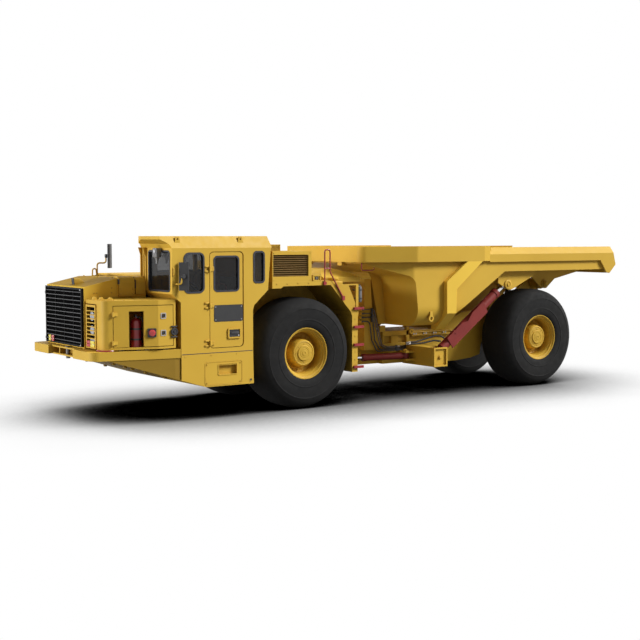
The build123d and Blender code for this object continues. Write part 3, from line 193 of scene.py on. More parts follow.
# finishes that start from another one: its name, then what differs
finishVariants = {
    "louvrePaint": ("yellowPaint", {
        "base": (0.32, 0.2, 0.07), "tone": (0.27, 0.16, 0.05), "edge": (0.42, 0.28, 0.1), "edgeAmount": 0.3,
        "shadeAndDust": (0.1, 0.055, 0.014), "shadeAndDustReach": 0.06}),
    # lighter copy of the yellow paint: painted light on the hood's sides, and the cab's painted shadow on its
    # top
    "hoodLitShadedPaint": ("yellowPaint", {
        "base": (0.95, 0.62, 0.08), "tone": (0.88, 0.56, 0.07), "shadeAndDustAmount": 0.3, "gloss": 0.07,
        "facingShade": ((0.36, 0.21, 0.016), 1)}),
    # darker copy of the yellow paint: painted shade under the bumper's overhang
    "bellyPaint": ("yellowPaint", {
        "base": (0.36, 0.215, 0.022), "tone": (0.31, 0.18, 0.017), "edge": (0.6, 0.38, 0.05)}),
    # lighter copy of the yellow paint: painted light on the side straps
    "strapLitPaint": ("yellowPaint", {
        "base": (0.96, 0.63, 0.072), "tone": (0.9, 0.58, 0.064), "shadeAndDustAmount": 0.3}),
    # painted shade inside and under the fenders: darker corners and darker faces that look down
    "fenderShadedPaint": ("yellowPaint", {
        "shadeAndDust": (0.12, 0.065, 0.008), "shadeAndDustReach": 0.3, "shadeAndDustAmount": 0.8,
        "facingShade": ((0.06, 0.032, 0.005), -1)}),
    "tyreBlack": ("mirrorPlastic", {
        "base": (0.004, 0.004, 0.004), "tone": (0.006, 0.006, 0.006), "edgeAmount": 0.0, "gloss": 0.1}),
    "deepBlack": ("tyreBlack", {"shadeAndDust": (0.003, 0.003, 0.003), "gloss": 0.0}),
    # lighter copy of the black paint: painted light on the grille bars
    "grilleLitPaint": ("blackPaint", {
        "base": (0.034, 0.034, 0.037), "tone": (0.044, 0.044, 0.047), "edge": (0.12, 0.12, 0.125)}),
    "pipeSteel": ("brightSteel", {
        "base": (0.13, 0.115, 0.1), "tone": (0.1, 0.09, 0.08), "edge": (0.25, 0.24, 0.22), "metal": 0.6}),
}
for name, (start, changes) in finishVariants.items():
    finishLooks[name] = {**finishLooks[start], **changes}
finishLooks = {name: {**commonLook, **look} for name, look in finishLooks.items()}
glassLook = {
    "slot": "window_glass", "base": (0.016, 0.017, 0.018), "tone": (0.01, 0.011, 0.012), "toneScale": 6.0,
    "rough": (0.03, 0.08), "gloss": 0.4, "clear": 0.5,
}
# how all finishes wear and take their painted shade: ranges of noise or of shade, and what they are stretched
# to
wearAndShadeRules = {
    "toneRange": (0.35, 0.68), "patchScale": 11.0, "edgeRange": (0.995, 0.86),
    "edgePatch": (0.38, 0.62, 0.45, 1), "facingShadeRange": (0.6, 0.95), "shadeAndDustRange": (0.92, 0.25),
    "shadeAndDustPatch": (0.3, 0.6, 0.75, 1), "roughPatch": (0.3, 0.7), "glassRange": (0.4, 0.7),
    "coatRough": 0.14, "relief": 0.35, "rays": 4,
}
slotFinish = {
    "yellow_paint": "yellowPaint", "tyre_rubber": "tyreRubber", "black_paint": "blackPaint",
    "red_paint": "redPaint", "cylinder_paint": "cylinderPaint", "bright_steel": "brightSteel",
    "rod_chrome": "rodChrome", "window_rubber": "windowRubber", "hose_rubber": "hoseRubber",
    "window_glass": "windowGlass", "lamp_face": "lampFace", "seat_fabric": "seatFabric",
    "console_plastic": "consolePlastic", "engine_iron": "engineIron",
}
# CAD pieces whose finish isn't their slot's usual one
paintByNode = {
    "mirror_heads": "mirrorPlastic", "cooler_louvres": "louvrePaint", "engine_hood": "hoodLitShadedPaint",
    "belly_guard": "bellyPaint", "front_fenders": "fenderShadedPaint", "steel_pipes": "pipeSteel",
    "tow_pin": "pipeSteel", "side_straps": "strapLitPaint", "front_left_rim": "rimPaint",
    "front_right_rim": "rimPaint", "rear_left_rim": "rimPaint", "rear_right_rim": "rimPaint",
}


def putNode(tree, kind, values=(), **settings):
    node = tree.nodes.new("ShaderNode" + kind)
    for key, value in settings.items():
        setattr(node, key, value)
    for socket, value in dict(values).items():
        node.inputs[socket].default_value = value
    return node


def mixColours(tree, factor, first, second):
    mix = putNode(tree, "Mix", data_type="RGBA")
    tree.links.new(factor, mix.inputs[0])
    for slotIndex, colour in ((6, first), (7, second)):
        if isinstance(colour, tuple):
            mix.inputs[slotIndex].default_value = (*colour, 1)
        else:
            tree.links.new(colour, mix.inputs[slotIndex])
    return mix.outputs[2]


def stretchRange(tree, source, fromLow, fromHigh, toLow, toHigh):
    reach = putNode(tree, "MapRange", {1: fromLow, 2: fromHigh, 3: toLow, 4: toHigh}, clamp=True)
    tree.links.new(source, reach.inputs[0])
    return reach.outputs[0]


def multiply(tree, first, second):
    times = putNode(tree, "Math", operation="MULTIPLY")
    tree.links.new(first, times.inputs[0])
    tree.links.new(second, times.inputs[1])
    return times.outputs[0]


def putPattern(tree, kind, place, values, **settings):  # a texture on the object's own coordinates
    texture = putNode(tree, "Tex" + kind, values, **settings)
    tree.links.new(place, texture.inputs["Vector"])
    return texture


# grain, ribs or a weave for the bump, or None for a plain finish
def makeHeight(tree, look, place):
    height = None
    if look["grain"]:
        mapping = putNode(tree, "Mapping", {"Scale": look["stretch"]})
        tree.links.new(place, mapping.inputs["Vector"])
        grain = putPattern(tree, "Noise", mapping.outputs[0], {"Scale": float(look["grain"]), "Detail": 2.0})
        height = grain.outputs[0]
    if look["ribs"]:
        ribs = putPattern(tree, "Wave", place, {"Scale": float(look["ribs"])}, bands_direction="Y")
        height = ribs.outputs["Fac"]
    if look["weave"]:
        warp, weft = (putPattern(tree, "Wave", place, {"Scale": float(look["weave"])}, bands_direction=way)
                      for way in ("X", "DIAGONAL"))
        height = multiply(tree, warp.outputs["Fac"], weft.outputs["Fac"])
    return height


def makeFinish(name, look):
    finish = bpy.data.materials.new(name)
    finish.use_nodes = True
    tree = finish.node_tree
    link = tree.links.new
    shader = tree.nodes["Principled BSDF"]
    shader.inputs["Metallic"].default_value = look["metal"]
    shader.inputs["Coat Weight"].default_value = look["coat"]
    shader.inputs["Coat Roughness"].default_value = wearAndShadeRules["coatRough"]
    shader.inputs["Specular IOR Level"].default_value = look["gloss"]
    shader.inputs["Sheen Weight"].default_value = look["sheen"]
    place = putNode(tree, "TexCoord").outputs["Object"]
    cloud = putPattern(tree, "Noise", place, {"Scale": look["toneScale"], "Detail": 3.0, "Roughness": 0.55})
    toned = stretchRange(tree, cloud.outputs[0], *wearAndShadeRules["toneRange"], 0, 1)
    colour = mixColours(tree, toned, look["base"], look["tone"])
    # lighter edges in patches: wear, with a painted highlight along the edges
    patch = putPattern(tree, "Noise", place, {"Scale": wearAndShadeRules["patchScale"], "Detail": 4.0}).outputs[0]
    rounded = putNode(tree, "Bevel", {"Radius": look["edgeSize"]}, samples=wearAndShadeRules["rays"])
    flat = putNode(tree, "NewGeometry")
    turn = putNode(tree, "VectorMath", operation="DOT_PRODUCT")
    link(rounded.outputs[0], turn.inputs[0])
    link(flat.outputs["True Normal"], turn.inputs[1])
    wornAndLitEdges = stretchRange(tree, turn.outputs["Value"], *wearAndShadeRules["edgeRange"], 0, look["edgeAmount"])
    wornAndLitEdges = multiply(tree, wornAndLitEdges, stretchRange(tree, patch, *wearAndShadeRules["edgePatch"]))
    colour = mixColours(tree, wornAndLitEdges, colour, look["edge"])
    # painted shade on the faces that look up or on those that look down, standing in for a shadow cast from
    # above or the shade under a part
    if look["facingShade"]:
        paintedShade, facing = look["facingShade"]
        level = putNode(tree, "SeparateXYZ")
        link(flat.outputs["True Normal"], level.inputs[0])
        start, full = wearAndShadeRules["facingShadeRange"]
        amount = stretchRange(tree, level.outputs["Z"], start * facing, full * facing, 0, 1)
        colour = mixColours(tree, amount, colour, paintedShade)
    # painted shade with some dust: darker, deeper colour in corners, where ambient occlusion finds shade
    corner = putNode(tree, "AmbientOcclusion", {"Distance": look["shadeAndDustReach"]}, samples=wearAndShadeRules["rays"])
    shadeAndDustMask = stretchRange(tree, corner.outputs["AO"], *wearAndShadeRules["shadeAndDustRange"], 0, look["shadeAndDustAmount"])
    shadeAndDustMask = multiply(tree, shadeAndDustMask, stretchRange(tree, patch, *wearAndShadeRules["shadeAndDustPatch"]))
    colour = mixColours(tree, shadeAndDustMask, colour, look["shadeAndDust"])
    link(colour, shader.inputs["Base Color"])
    link(stretchRange(tree, patch, *wearAndShadeRules["roughPatch"], *look["rough"]), shader.inputs["Roughness"])
    height = makeHeight(tree, look, place)
    if height:
        relief = putNode(tree, "Bump", {"Strength": wearAndShadeRules["relief"], "Distance": look["grainHeight"]})
        link(height, relief.inputs["Height"])
        link(relief.outputs[0], shader.inputs["Normal"])
    return finish


def makeGlass(name, look):  # dark tinted panes that the cab's inside shows through
    finish = bpy.data.materials.new(name)
    finish.use_nodes = True
    tree = finish.node_tree
    shader = tree.nodes["Principled BSDF"]
    shader.inputs["Alpha"].default_value = look["clear"]
    shader.inputs["Specular IOR Level"].default_value = look["gloss"]
    place = putNode(tree, "TexCoord").outputs["Object"]
    smear = putPattern(tree, "Noise", place, {"Scale": look["toneScale"], "Detail": 3.0}).outputs[0]
    tree.links.new(mixColours(tree, smear, look["base"], look["tone"]), shader.inputs["Base Color"])
    rough = stretchRange(tree, smear, *wearAndShadeRules["glassRange"], *look["rough"])
    tree.links.new(rough, shader.inputs["Roughness"])
    return finish


finishes = {name: makeFinish(name, look) for name, look in finishLooks.items()}
finishes["windowGlass"] = makeGlass("windowGlass", glassLook)
finishLooks["windowGlass"] = glassLook
for part in frame["record"]["subparts"]:
    node = part["node"]
    finish = paintByNode.get(node, slotFinish[part["material_slot"]])
    nodes[node].data.materials.clear()
    nodes[node].data.materials.append(finishes[finish])

# modelling tools
axisVectors = {"X": Vector((1, 0, 0)), "Y": Vector((0, 1, 0)), "Z": Vector((0, 0, 1))}
otherSide = Matrix.Diagonal((1, -1, 1, 1))
weldDistance = 0.00002


def stepToward(toward):  # unit vector of a signed axis such as "-Y"
    return axisVectors[toward[1]] * (1 if toward[0] == "+" else -1)


def movedTo(spots, place):  # corners or other points given from a place, moved to it
    return [tuple(a + b for a, b in zip(spot, place)) for spot in spots]


def clearSelection():
    if bpy.context.object and bpy.context.object.mode != "OBJECT":
        bpy.ops.object.mode_set(mode="OBJECT")
    bpy.ops.object.select_all(action="DESELECT")


def takeUp(*pieces):
    clearSelection()
    for piece in pieces:
        piece.select_set(True)
    bpy.context.view_layer.objects.active = pieces[0]


def settle():  # writes the object's place into its mesh
    bpy.ops.object.mode_set(mode="OBJECT")
    bpy.ops.object.transform_apply(location=True, rotation=True, scale=True)


def addBlock(low, high):
    clearSelection()
    bpy.ops.mesh.primitive_cube_add(size=1, location=[(a + b) / 2 for a, b in zip(low, high)])
    bpy.context.object.scale = [b - a for a, b in zip(low, high)]
    settle()
    return bpy.context.object


def addSoftBlock(low, high, size, steps=2):  # a block with all its edges rounded
    addBlock(low, high)
    roundEdges(size, steps)
    return bpy.context.object


def addRound(middle, radius, depth, axis, sides):
    clearSelection()
    turn = {"X": (0, math.pi / 2, 0), "Y": (math.pi / 2, 0, 0), "Z": (0, 0, 0)}[axis]
    bpy.ops.mesh.primitive_cylinder_add(vertices=sides, radius=radius, depth=depth, location=middle,
                                        rotation=turn)
    settle()
    return bpy.context.object


def pick(test, kind="FACE"):  # picks faces by centre and normal, edges by middle and direction
    mesh = bpy.context.object.data
    bpy.ops.object.mode_set(mode="EDIT")
    bpy.ops.mesh.select_mode(type=kind)
    bpy.ops.mesh.select_all(action="DESELECT")
    bpy.ops.object.mode_set(mode="OBJECT")
    if kind == "FACE":
        for face in mesh.polygons:
            face.select = bool(test(face.center, face.normal))
    elif kind == "EDGE":
        for edge in mesh.edges:
            start, end = (mesh.vertices[i].co for i in edge.vertices)
            edge.select = bool(test((start + end) / 2, (end - start).normalized()))
    else:
        for point in mesh.vertices:
            point.select = bool(test(point.co))
    bpy.ops.object.mode_set(mode="EDIT")


def pickAll():
    bpy.ops.object.mode_set(mode="EDIT")
    bpy.ops.mesh.select_mode(type="VERT")
    bpy.ops.mesh.select_all(action="SELECT")


def alongY(middle, going):  # a test for the edges that run across the truck
    return abs(going.y) > 0.9


def roundEdges(size, steps=2, test=None):
    pick(test or (lambda middle, going: True), "EDGE")
    bpy.ops.mesh.bevel(offset=size, segments=steps, affect="EDGES")
    bpy.ops.object.mode_set(mode="OBJECT")


def tidyMesh():
    pickAll()
    bpy.ops.mesh.remove_doubles(threshold=weldDistance)
    bpy.ops.mesh.normals_make_consistent(inside=False)
    bpy.ops.object.mode_set(mode="OBJECT")


def push(shift):
    bpy.ops.mesh.extrude_region_move(TRANSFORM_OT_translate={"value": tuple(shift)})


# leaves a rim on the faces that look one way and raises what is inside it, or sinks it by a negative rise
def dishFace(toward, rim, rise, limit=0.9):
    step = stepToward(toward)
    pick(lambda centre, normal: normal.dot(step) > limit)
    bpy.ops.mesh.inset(thickness=rim)
    push(step * rise)
    bpy.ops.object.mode_set(mode="OBJECT")
    return bpy.context.object


def addPanel(low, high, corner, steps, rim, rise):  # round corners, and its left side dished
    addBlock(low, high)
    roundEdges(corner, steps, alongY)
    return dishFace("+Y", rim, rise)


def drawOutline(spots):  # a line of edges from point to point, left selected in edit mode
    clearSelection()
    bpy.ops.mesh.primitive_plane_add(size=0.01, location=spots[0])
    pickAll()
    bpy.ops.mesh.merge(type="CENTER")
    for last, spot in zip(spots, spots[1:]):
        bpy.ops.mesh.extrude_vertices_move(TRANSFORM_OT_translate={"value": tuple(spot - last)})
    bpy.ops.mesh.select_all(action="SELECT")


# an outline of (radius, height) points, spun about an axis through its middle
def addTurned(outline, middle, axis, steps):
    up = axisVectors[axis]
    out = axisVectors["Z" if axis != "Z" else "X"]
    drawOutline([Vector(middle) + out * radius + up * height for radius, height in outline])
    bpy.ops.mesh.spin(steps=steps, angle=2 * math.pi, center=middle, axis=tuple(up), use_auto_merge=True)
    settle()
    tidyMesh()
    return bpy.context.object


# a flat plate across the Y axis: its (x, z) outline is filled and pushed
def addPlate(outline, near, far):
    drawOutline([Vector((x, near, z)) for x, z in outline])
    bpy.ops.mesh.edge_face_add()
    push((0, far - near, 0))
    settle()
    tidyMesh()
    return bpy.context.object


# a bent tube: a ring pushed along each run and spun round each corner
def addTube(points, radius, bend, sides=12, steps=6):
    points = [Vector(point) for point in points]
    clearSelection()
    first = (points[1] - points[0]).normalized()
    bpy.ops.mesh.primitive_circle_add(vertices=sides, radius=radius, location=points[0])
    bpy.context.object.rotation_mode = "QUATERNION"
    bpy.context.object.rotation_quaternion = first.to_track_quat("Z", "Y")
    settle()
    pickAll()
    bpy.ops.mesh.edge_face_add()
    here = points[0]
    for before, corner, after in zip(points, points[1:], points[2:]):
        going, leaving = (corner - before).normalized(), (after - corner).normalized()
        turn = going.angle(leaving)
        reach = bend * math.tan(turn / 2)
        push(corner - going * reach - here)
        axis = going.cross(leaving).normalized()
        centre = corner - going * reach + axis.cross(going) * bend
        bpy.ops.mesh.spin(steps=steps, angle=-turn, center=centre, axis=axis)
        here = corner + leaving * reach
    push(points[-1] - here)
    bpy.ops.object.mode_set(mode="OBJECT")
    tidyMesh()
    return bpy.context.object


# a flat ring of material round an opening, lying across the Y axis, or across another by its number
def makeRing(low, high, width, corner, across=1):
    addBlock(low, high)
    roundEdges(corner, 4, lambda middle, going: abs(going[across]) > 0.9)
    pick(lambda centre, normal: abs(normal[across]) > 0.9)
    bpy.ops.mesh.inset(thickness=width)
    bpy.ops.mesh.bridge_edge_loops()
    bpy.ops.object.mode_set(mode="OBJECT")
    return bpy.context.object


def joinUp(*pieces):
    takeUp(*pieces)
    if len(pieces) > 1:
        bpy.ops.object.join()
    return bpy.context.object


def copyTo(piece, change):  # a copy with its own mesh, moved or turned by a matrix
    takeUp(piece)
    bpy.ops.object.duplicate(linked=False)
    copy = bpy.context.object
    copy.matrix_world = change @ copy.matrix_world
    settle()
    if change.determinant() < 0:
        tidyMesh()
    return copy


# names the piece, gives it its finish and slot, and lets it ride on a body
def finishPiece(piece, name, body, finish, smooth=32):
    takeUp(piece)
    settle()
    bpy.ops.object.shade_smooth_by_angle(angle=math.radians(smooth))
    piece.name = piece.data.name = name
    piece.data.materials.clear()
    piece.data.materials.append(finishes[finish])
    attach(piece, body)
    return piece


def bothSides(piece, name, body, finish):  # the piece and its mirror image as one
    other = copyTo(piece, otherSide)
    return finishPiece(joinUp(piece, other), name, body, finish)


# hex bolt with a washer, its head along a signed axis such as "+Y"
def addBolt(place, toward, size):
    step = stepToward(toward)
    place = Vector(place)
    washer = addRound(place + step * size * 0.1, size * 1.35, size * 0.2, toward[1], 16)
    head = addRound(place + step * size * 0.5, size, size * 0.7, toward[1], 6)
    pick(lambda centre, normal: normal.dot(step) > 0.9)
    bpy.ops.mesh.bevel(offset=size * 0.14, segments=1, affect="EDGES")
    bpy.ops.object.mode_set(mode="OBJECT")
    return joinUp(washer, head)


def addBolts(places, toward, size):
    first = addBolt(places[0], toward, size)
    rest = [copyTo(first, Matrix.Translation(Vector(place) - Vector(places[0]))) for place in places[1:]]
    return joinUp(first, *rest)


def boltGroup(name, body, finish, groups, mirrored=False):
    made = joinUp(*[addBolts(places, toward, size) for places, toward, size in groups])
    return (bothSides if mirrored else finishPiece)(made, name, body, finish)


def along(start, end, count):  # places at even steps from start to end
    start, end = Vector(start), Vector(end)
    return [start.lerp(end, i / (count - 1)) for i in range(count)]


def faceCorners(low, high, inset):  # bolt places in the corners of a panel's outer side
    return [(x, high[1], z) for x in (low[0] + inset, high[0] - inset)
            for z in (low[2] + inset, high[2] - inset)]


# wheels: slick tyres on dished rims, as (radius, width) outlines; the tyre's is one half
tyreShape = {
    "steps": 96, "smooth": 24,
    "half": [(0.374, 0.28), (0.386, 0.316), (0.408, 0.336), (0.43, 0.349), (0.462, 0.359), (0.5, 0.366),
             (0.518, 0.3665), (0.523, 0.3715), (0.531, 0.3725), (0.539, 0.3712), (0.545, 0.3685),
             (0.6, 0.3715), (0.655, 0.3712), (0.698, 0.368), (0.703, 0.3715), (0.711, 0.372), (0.718, 0.3675),
             (0.742, 0.36), (0.77, 0.347), (0.797, 0.33), (0.822, 0.306), (0.842, 0.276), (0.857, 0.24),
             (0.867, 0.198), (0.8725, 0.14), (0.875, 0.06)],
}
rimShape = {
    "steps": 72, "smooth": 24,
    "outline": [(0, 0.02), (0.345, 0.02), (0.345, -0.3), (0.375, -0.31), (0.408, -0.322), (0.409, -0.31),
                (0.378, -0.292), (0.37, -0.26), (0.37, 0.262), (0.38, 0.296), (0.403, 0.312), (0.409, 0.322),
                (0.409, 0.33), (0.405, 0.335), (0.394, 0.335), (0.389, 0.331), (0.384, 0.318), (0.374, 0.31),
                (0.366, 0.308), (0.361, 0.303), (0.358, 0.288), (0.35, 0.272), (0.34, 0.262), (0.333, 0.24),
                (0.326, 0.18), (0.322, 0.11), (0.316, 0.088), (0.304, 0.08), (0.262, 0.078), (0.246, 0.082),
                (0.236, 0.094), (0.228, 0.13), (0.218, 0.206), (0.211, 0.24), (0.203, 0.26), (0.193, 0.27),
                (0.18, 0.2735), (0.172, 0.271), (0.168, 0.267), (0.163, 0.271), (0.126, 0.274), (0.12, 0.285),
                (0.115, 0.2885), (0.084, 0.289), (0.08, 0.2855), (0.076, 0.289), (0.045, 0.2905),
                (0.041, 0.294), (0.02, 0.2955), (0.016, 0.2915), (0, 0.2905)],
    "boltRings": ((0.283, 0.079, 0.013, 20), (0.145, 0.2725, 0.0065, 8)),  # radius, seat, size and count
}


def makeWheel():
    low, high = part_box("front_left_tyre")
    centre = (low + high) / 2
    half = tyreShape["half"]
    outline = [(r, y) for r, y in half] + [(r, -y) for r, y in reversed(half)]
    tyre = addTurned(outline, centre, "Y", tyreShape["steps"])
    parts = [addTurned(rimShape["outline"], centre, "Y", rimShape["steps"])]
    for radius, seat, size, count in rimShape["boltRings"]:
        bolt = addBolt(centre + Vector((radius, seat, 0)), "+Y", size)
        parts.append(bolt)
        for i in range(1, count):
            turn = Matrix.Rotation(2 * math.pi * i / count, 4, "Y")
            parts.append(copyTo(bolt, Matrix.Translation(centre) @ turn @ Matrix.Translation(-centre)))
    return centre, tyre, joinUp(*parts)


def placeWheels(centre, tyre, rim):
    for end in ("front", "rear"):
        for side in ("right", "left"):
            low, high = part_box(f"{end}_{side}_tyre")
            change = Matrix.Translation((low + high) / 2)
            if side == "right":
                change = change @ Matrix.Rotation(math.pi, 4, "Z")
            change = change @ Matrix.Translation(-centre)
            for piece, what, finish, shape in ((tyre, "tyre", "tyreRubber", tyreShape),
                                               (rim, "rim", "rimPaint", rimShape)):
                copy = finishPiece(copyTo(piece, change), f"{end}{side.title()}{what.title()}Turned",
                                   f"{end}_{side}_wheel", finish, shape["smooth"])
                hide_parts(f"{end}_{side}_{what}")
    takeUp(tyre, rim)
    bpy.ops.object.delete()


placeWheels(*makeWheel())
print("wheels turned")

# nose: grille, signal lamps, hood and its covers
noseDetail = {
    "stays": (-0.52, -0.2, 0.13), "stayWidth": 0.014, "stayDepth": (0.006, 0.014), "stayInset": 0.03,
    "bars": 13, "barHeight": 0.011, "barDepth": (0.024, 0.036), "barInset": 0.02,
    "frameWidth": 0.026, "frameDepth": 0.036, "frameCorner": 0.008,
    "coreDepth": (-0.0005, 0.0025), "liningDepth": (0.019, 0.022), "liningInset": 0.029,
    "bolt": 0.011, "boltInset": 0.025,
    "lensDepth": 0.01, "lensRound": 0.003,
    # place of each lens cluster: x, then the near and far y of its yellow and of its red pair
    "lenses": ((5.177, (-0.728, -0.65), (-0.622, -0.535)), (5.133, (0.684, 0.812), (0.553, 0.678))),
    "lensRows": (1.116, 1.163), "lensHeight": 0.043,
    "pods": ((5.105, -0.876, 1.15), (5.105, -0.876, 1.85)), "podRadius": 0.046,
    "scoop": [(5.06, 1.96), (5.076, 2.083), (4.987, 2.083), (4.9, 2.03), (4.88, 1.97)],
    "scoopSpan": (-0.082, -0.012),
    "scoopMouth": [(5.063, 1.978), (5.077, 2.089), (5.085, 2.089), (5.071, 1.978)],
    "mouthSpan": (-0.09, -0.014),
    "covers": (((4.35, 0.36, 1.83), (4.6, 0.533, 2.118)), ((4.165, 0.38, 1.85), (4.325, 0.52, 2.112))),
    "coverRound": 0.11,
    "slots": (((4.597, 0.44, 2.005), (4.609, 0.537, 2.078)), ((4.326, 0.44, 1.94), (4.337, 0.526, 2.065))),
    "coverBolts": [(x, 0.535, z) for x in (4.375, 4.575) for z in (1.86, 1.93)],
    "sideBolts": [(4.98, 0.48, 1.88), (4.94, 0.48, 1.88), (4.7, 0.48, 1.95), (4.7, 0.48, 1.88)],
    "topBolts": [(x, y, 2.092) for x in (4.2, 4.4, 4.56) for y in (-0.8, -0.3, 0.2)],
    "lidHinges": ((5.085, 0.72, 1.794), (5.075, 0.92, 1.794), (4.99, 1.035, 1.794)),
    "lidLeaf": ((-0.045, -0.042, 0), (0.03, 0.042, 0.012)), "lidBarrelUp": 0.025,
    "lidBarrel": [(0, -0.036), (0.018, -0.036), (0.023, -0.03), (0.023, 0.03), (0.018, 0.036), (0, 0.036)],
    "loop": [(4.4, -0.84, 2.09), (4.392, -0.84, 2.2), (4.335, -0.84, 2.2), (4.322, -0.84, 2.09)],
    "loopRadius": 0.011, "loopBend": 0.026,
}


def makeGrille():
    low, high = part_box("radiator_grille")
    half, inset = noseDetail["stayWidth"] / 2, noseDetail["stayInset"]
    back, front = noseDetail["stayDepth"]
    stays = []
    for y in noseDetail["stays"]:
        addBlock((low.x + back, y - half, low.z + inset), (low.x + front, y + half, high.z - inset))
        stays.append(dishFace("+X", 0.003, 0.002))
    finishPiece(joinUp(*stays), "grilleStays", "front_frame", "tyreBlack")
    depth = noseDetail["frameDepth"]
    edge = makeRing(low, (low.x + depth, high.y, high.z), noseDetail["frameWidth"],
                    noseDetail["frameCorner"], 0)
    roundEdges(0.002, 1, lambda middle, going: middle.x > low.x + depth - 0.001)
    finishPiece(edge, "grilleFrame", "front_frame", "tyreBlack")
    half, inset = noseDetail["barHeight"] / 2, noseDetail["barInset"]
    back, front = noseDetail["barDepth"]
    pitch = (high.z - low.z) / (noseDetail["bars"] + 1)
    first = low.z + pitch
    bar = addSoftBlock((low.x + back, low.y + inset, first - half),
                       (low.x + front, high.y - inset, first + half), 0.003, 1)
    bars = [bar] + [copyTo(bar, Matrix.Translation((0, 0, pitch * i))) for i in range(1, noseDetail["bars"])]
    bars = finishPiece(joinUp(*bars), "grilleBars", "front_frame", "grilleLitPaint")
    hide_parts("radiator_grille")
    back, front = noseDetail["coreDepth"]
    core = addBlock((low.x + back, low.y + inset, low.z + inset),
                    (low.x + front, high.y - inset, high.z - inset))
    finishPiece(core, "radiatorCore", "front_frame", "deepBlack")
    # dark lining at the back of the lamp column
    guardLow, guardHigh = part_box("lamp_guard")
    back, front = noseDetail["liningDepth"]
    inset = noseDetail["liningInset"]
    lining = addSoftBlock((guardLow.x + back, guardLow.y + inset, guardLow.z + inset),
                          (guardLow.x + front, guardHigh.y - inset, guardHigh.z - inset), 0.001, 1)
    finishPiece(lining, "lampBayLining", "front_frame", "deepBlack")
    inset = noseDetail["boltInset"]
    corners = [(high.x, y, z) for y in (low.y + inset, high.y - inset)
               for z in (low.z + inset, high.z - inset)]
    boltGroup("grilleBolts", "front_frame", "brightSteel", [(corners, "+X", noseDetail["bolt"])])


# two rows of square signal lenses on the grille and on the lamp guard
def makeSignalLenses():
    reds, yellows = [], []
    for x, yellowSpan, redSpan in noseDetail["lenses"]:
        for z in noseDetail["lensRows"]:
            for made, (y0, y1) in ((yellows, yellowSpan), (reds, redSpan)):
                addSoftBlock((x, y0, z), (x + noseDetail["lensDepth"], y1, z + noseDetail["lensHeight"]),
                             noseDetail["lensRound"])
                made.append(dishFace("+X", 0.004, 0.003, 0.99))
    finishPiece(joinUp(*yellows), "signalLensesYellow", "front_frame", "lampYellow")
    finishPiece(joinUp(*reds), "signalLensesRed", "front_frame", "lampRed")


# rubber pods on the grille's far edge
def makePods():
    radius = noseDetail["podRadius"]
    outline = [(0, 0), (radius * 0.6, 0), (radius * 0.6, -0.02), (radius, -0.028), (radius, -0.07),
               (radius * 0.85, -0.082), (radius * 0.3, -0.082), (radius * 0.25, -0.088), (0, -0.088)]
    pods = [addTurned(outline, place, "Y", 24) for place in noseDetail["pods"]]
    finishPiece(joinUp(*pods), "grillePods", "front_frame", "blackPaint")


def makeScoop():
    scoop = addPlate(noseDetail["scoop"], *noseDetail["scoopSpan"])
    roundEdges(0.006)
    finishPiece(scoop, "hoodScoop", "front_frame", "yellowPaint")
    addPlate(noseDetail["scoopMouth"], *noseDetail["mouthSpan"])
    finishPiece(dishFace("+X", 0.006, -0.004), "hoodScoopMouth", "front_frame", "blackPaint")


def makeHoodCovers():
    shells, slots = [], []
    for low, high in noseDetail["covers"]:
        addBlock(low, high)
        roundEdges(noseDetail["coverRound"], 8,
                   lambda middle, going: (abs(going.x) > 0.9 and middle.y > high[1] - 0.001
                                          and middle.z > high[2] - 0.001))
        shells.append(dishFace("+X", 0.016, -0.008))
    for low, high in noseDetail["slots"]:
        addBlock(low, high)
        slots.append(dishFace("+X", 0.006, -0.004))
    finishPiece(joinUp(*shells), "hoodCovers", "front_frame", "yellowPaint")
    finishPiece(joinUp(*slots), "hoodCoverSlots", "front_frame", "blackPaint")
    boltGroup("hoodBolts", "front_frame", "yellowPaint",
              [(noseDetail["coverBolts"], "+Y", 0.011), (noseDetail["sideBolts"], "+Y", 0.009),
               (noseDetail["topBolts"], "+Z", 0.012)])


# small domed hinges along the cabinet's front edge, and a lifting loop on the hood
def makeLidHinges():
    parts = []
    for x, y, z in noseDetail["lidHinges"]:
        parts.append(addSoftBlock(*movedTo(noseDetail["lidLeaf"], (x, y, z)), 0.003, 1))
        parts.append(addTurned(noseDetail["lidBarrel"], (x, y, z + noseDetail["lidBarrelUp"]), "Y", 20))
    finishPiece(joinUp(*parts), "cabinetLidHinges", "front_frame", "yellowPaint")
    loop = addTube(noseDetail["loop"], noseDetail["loopRadius"], noseDetail["loopBend"])
    finishPiece(loop, "hoodLoop", "front_frame", "yellowPaint")


makeGrille()
makeSignalLenses()
makePods()
makeScoop()
makeHoodCovers()
makeLidHinges()
print("nose fitted")

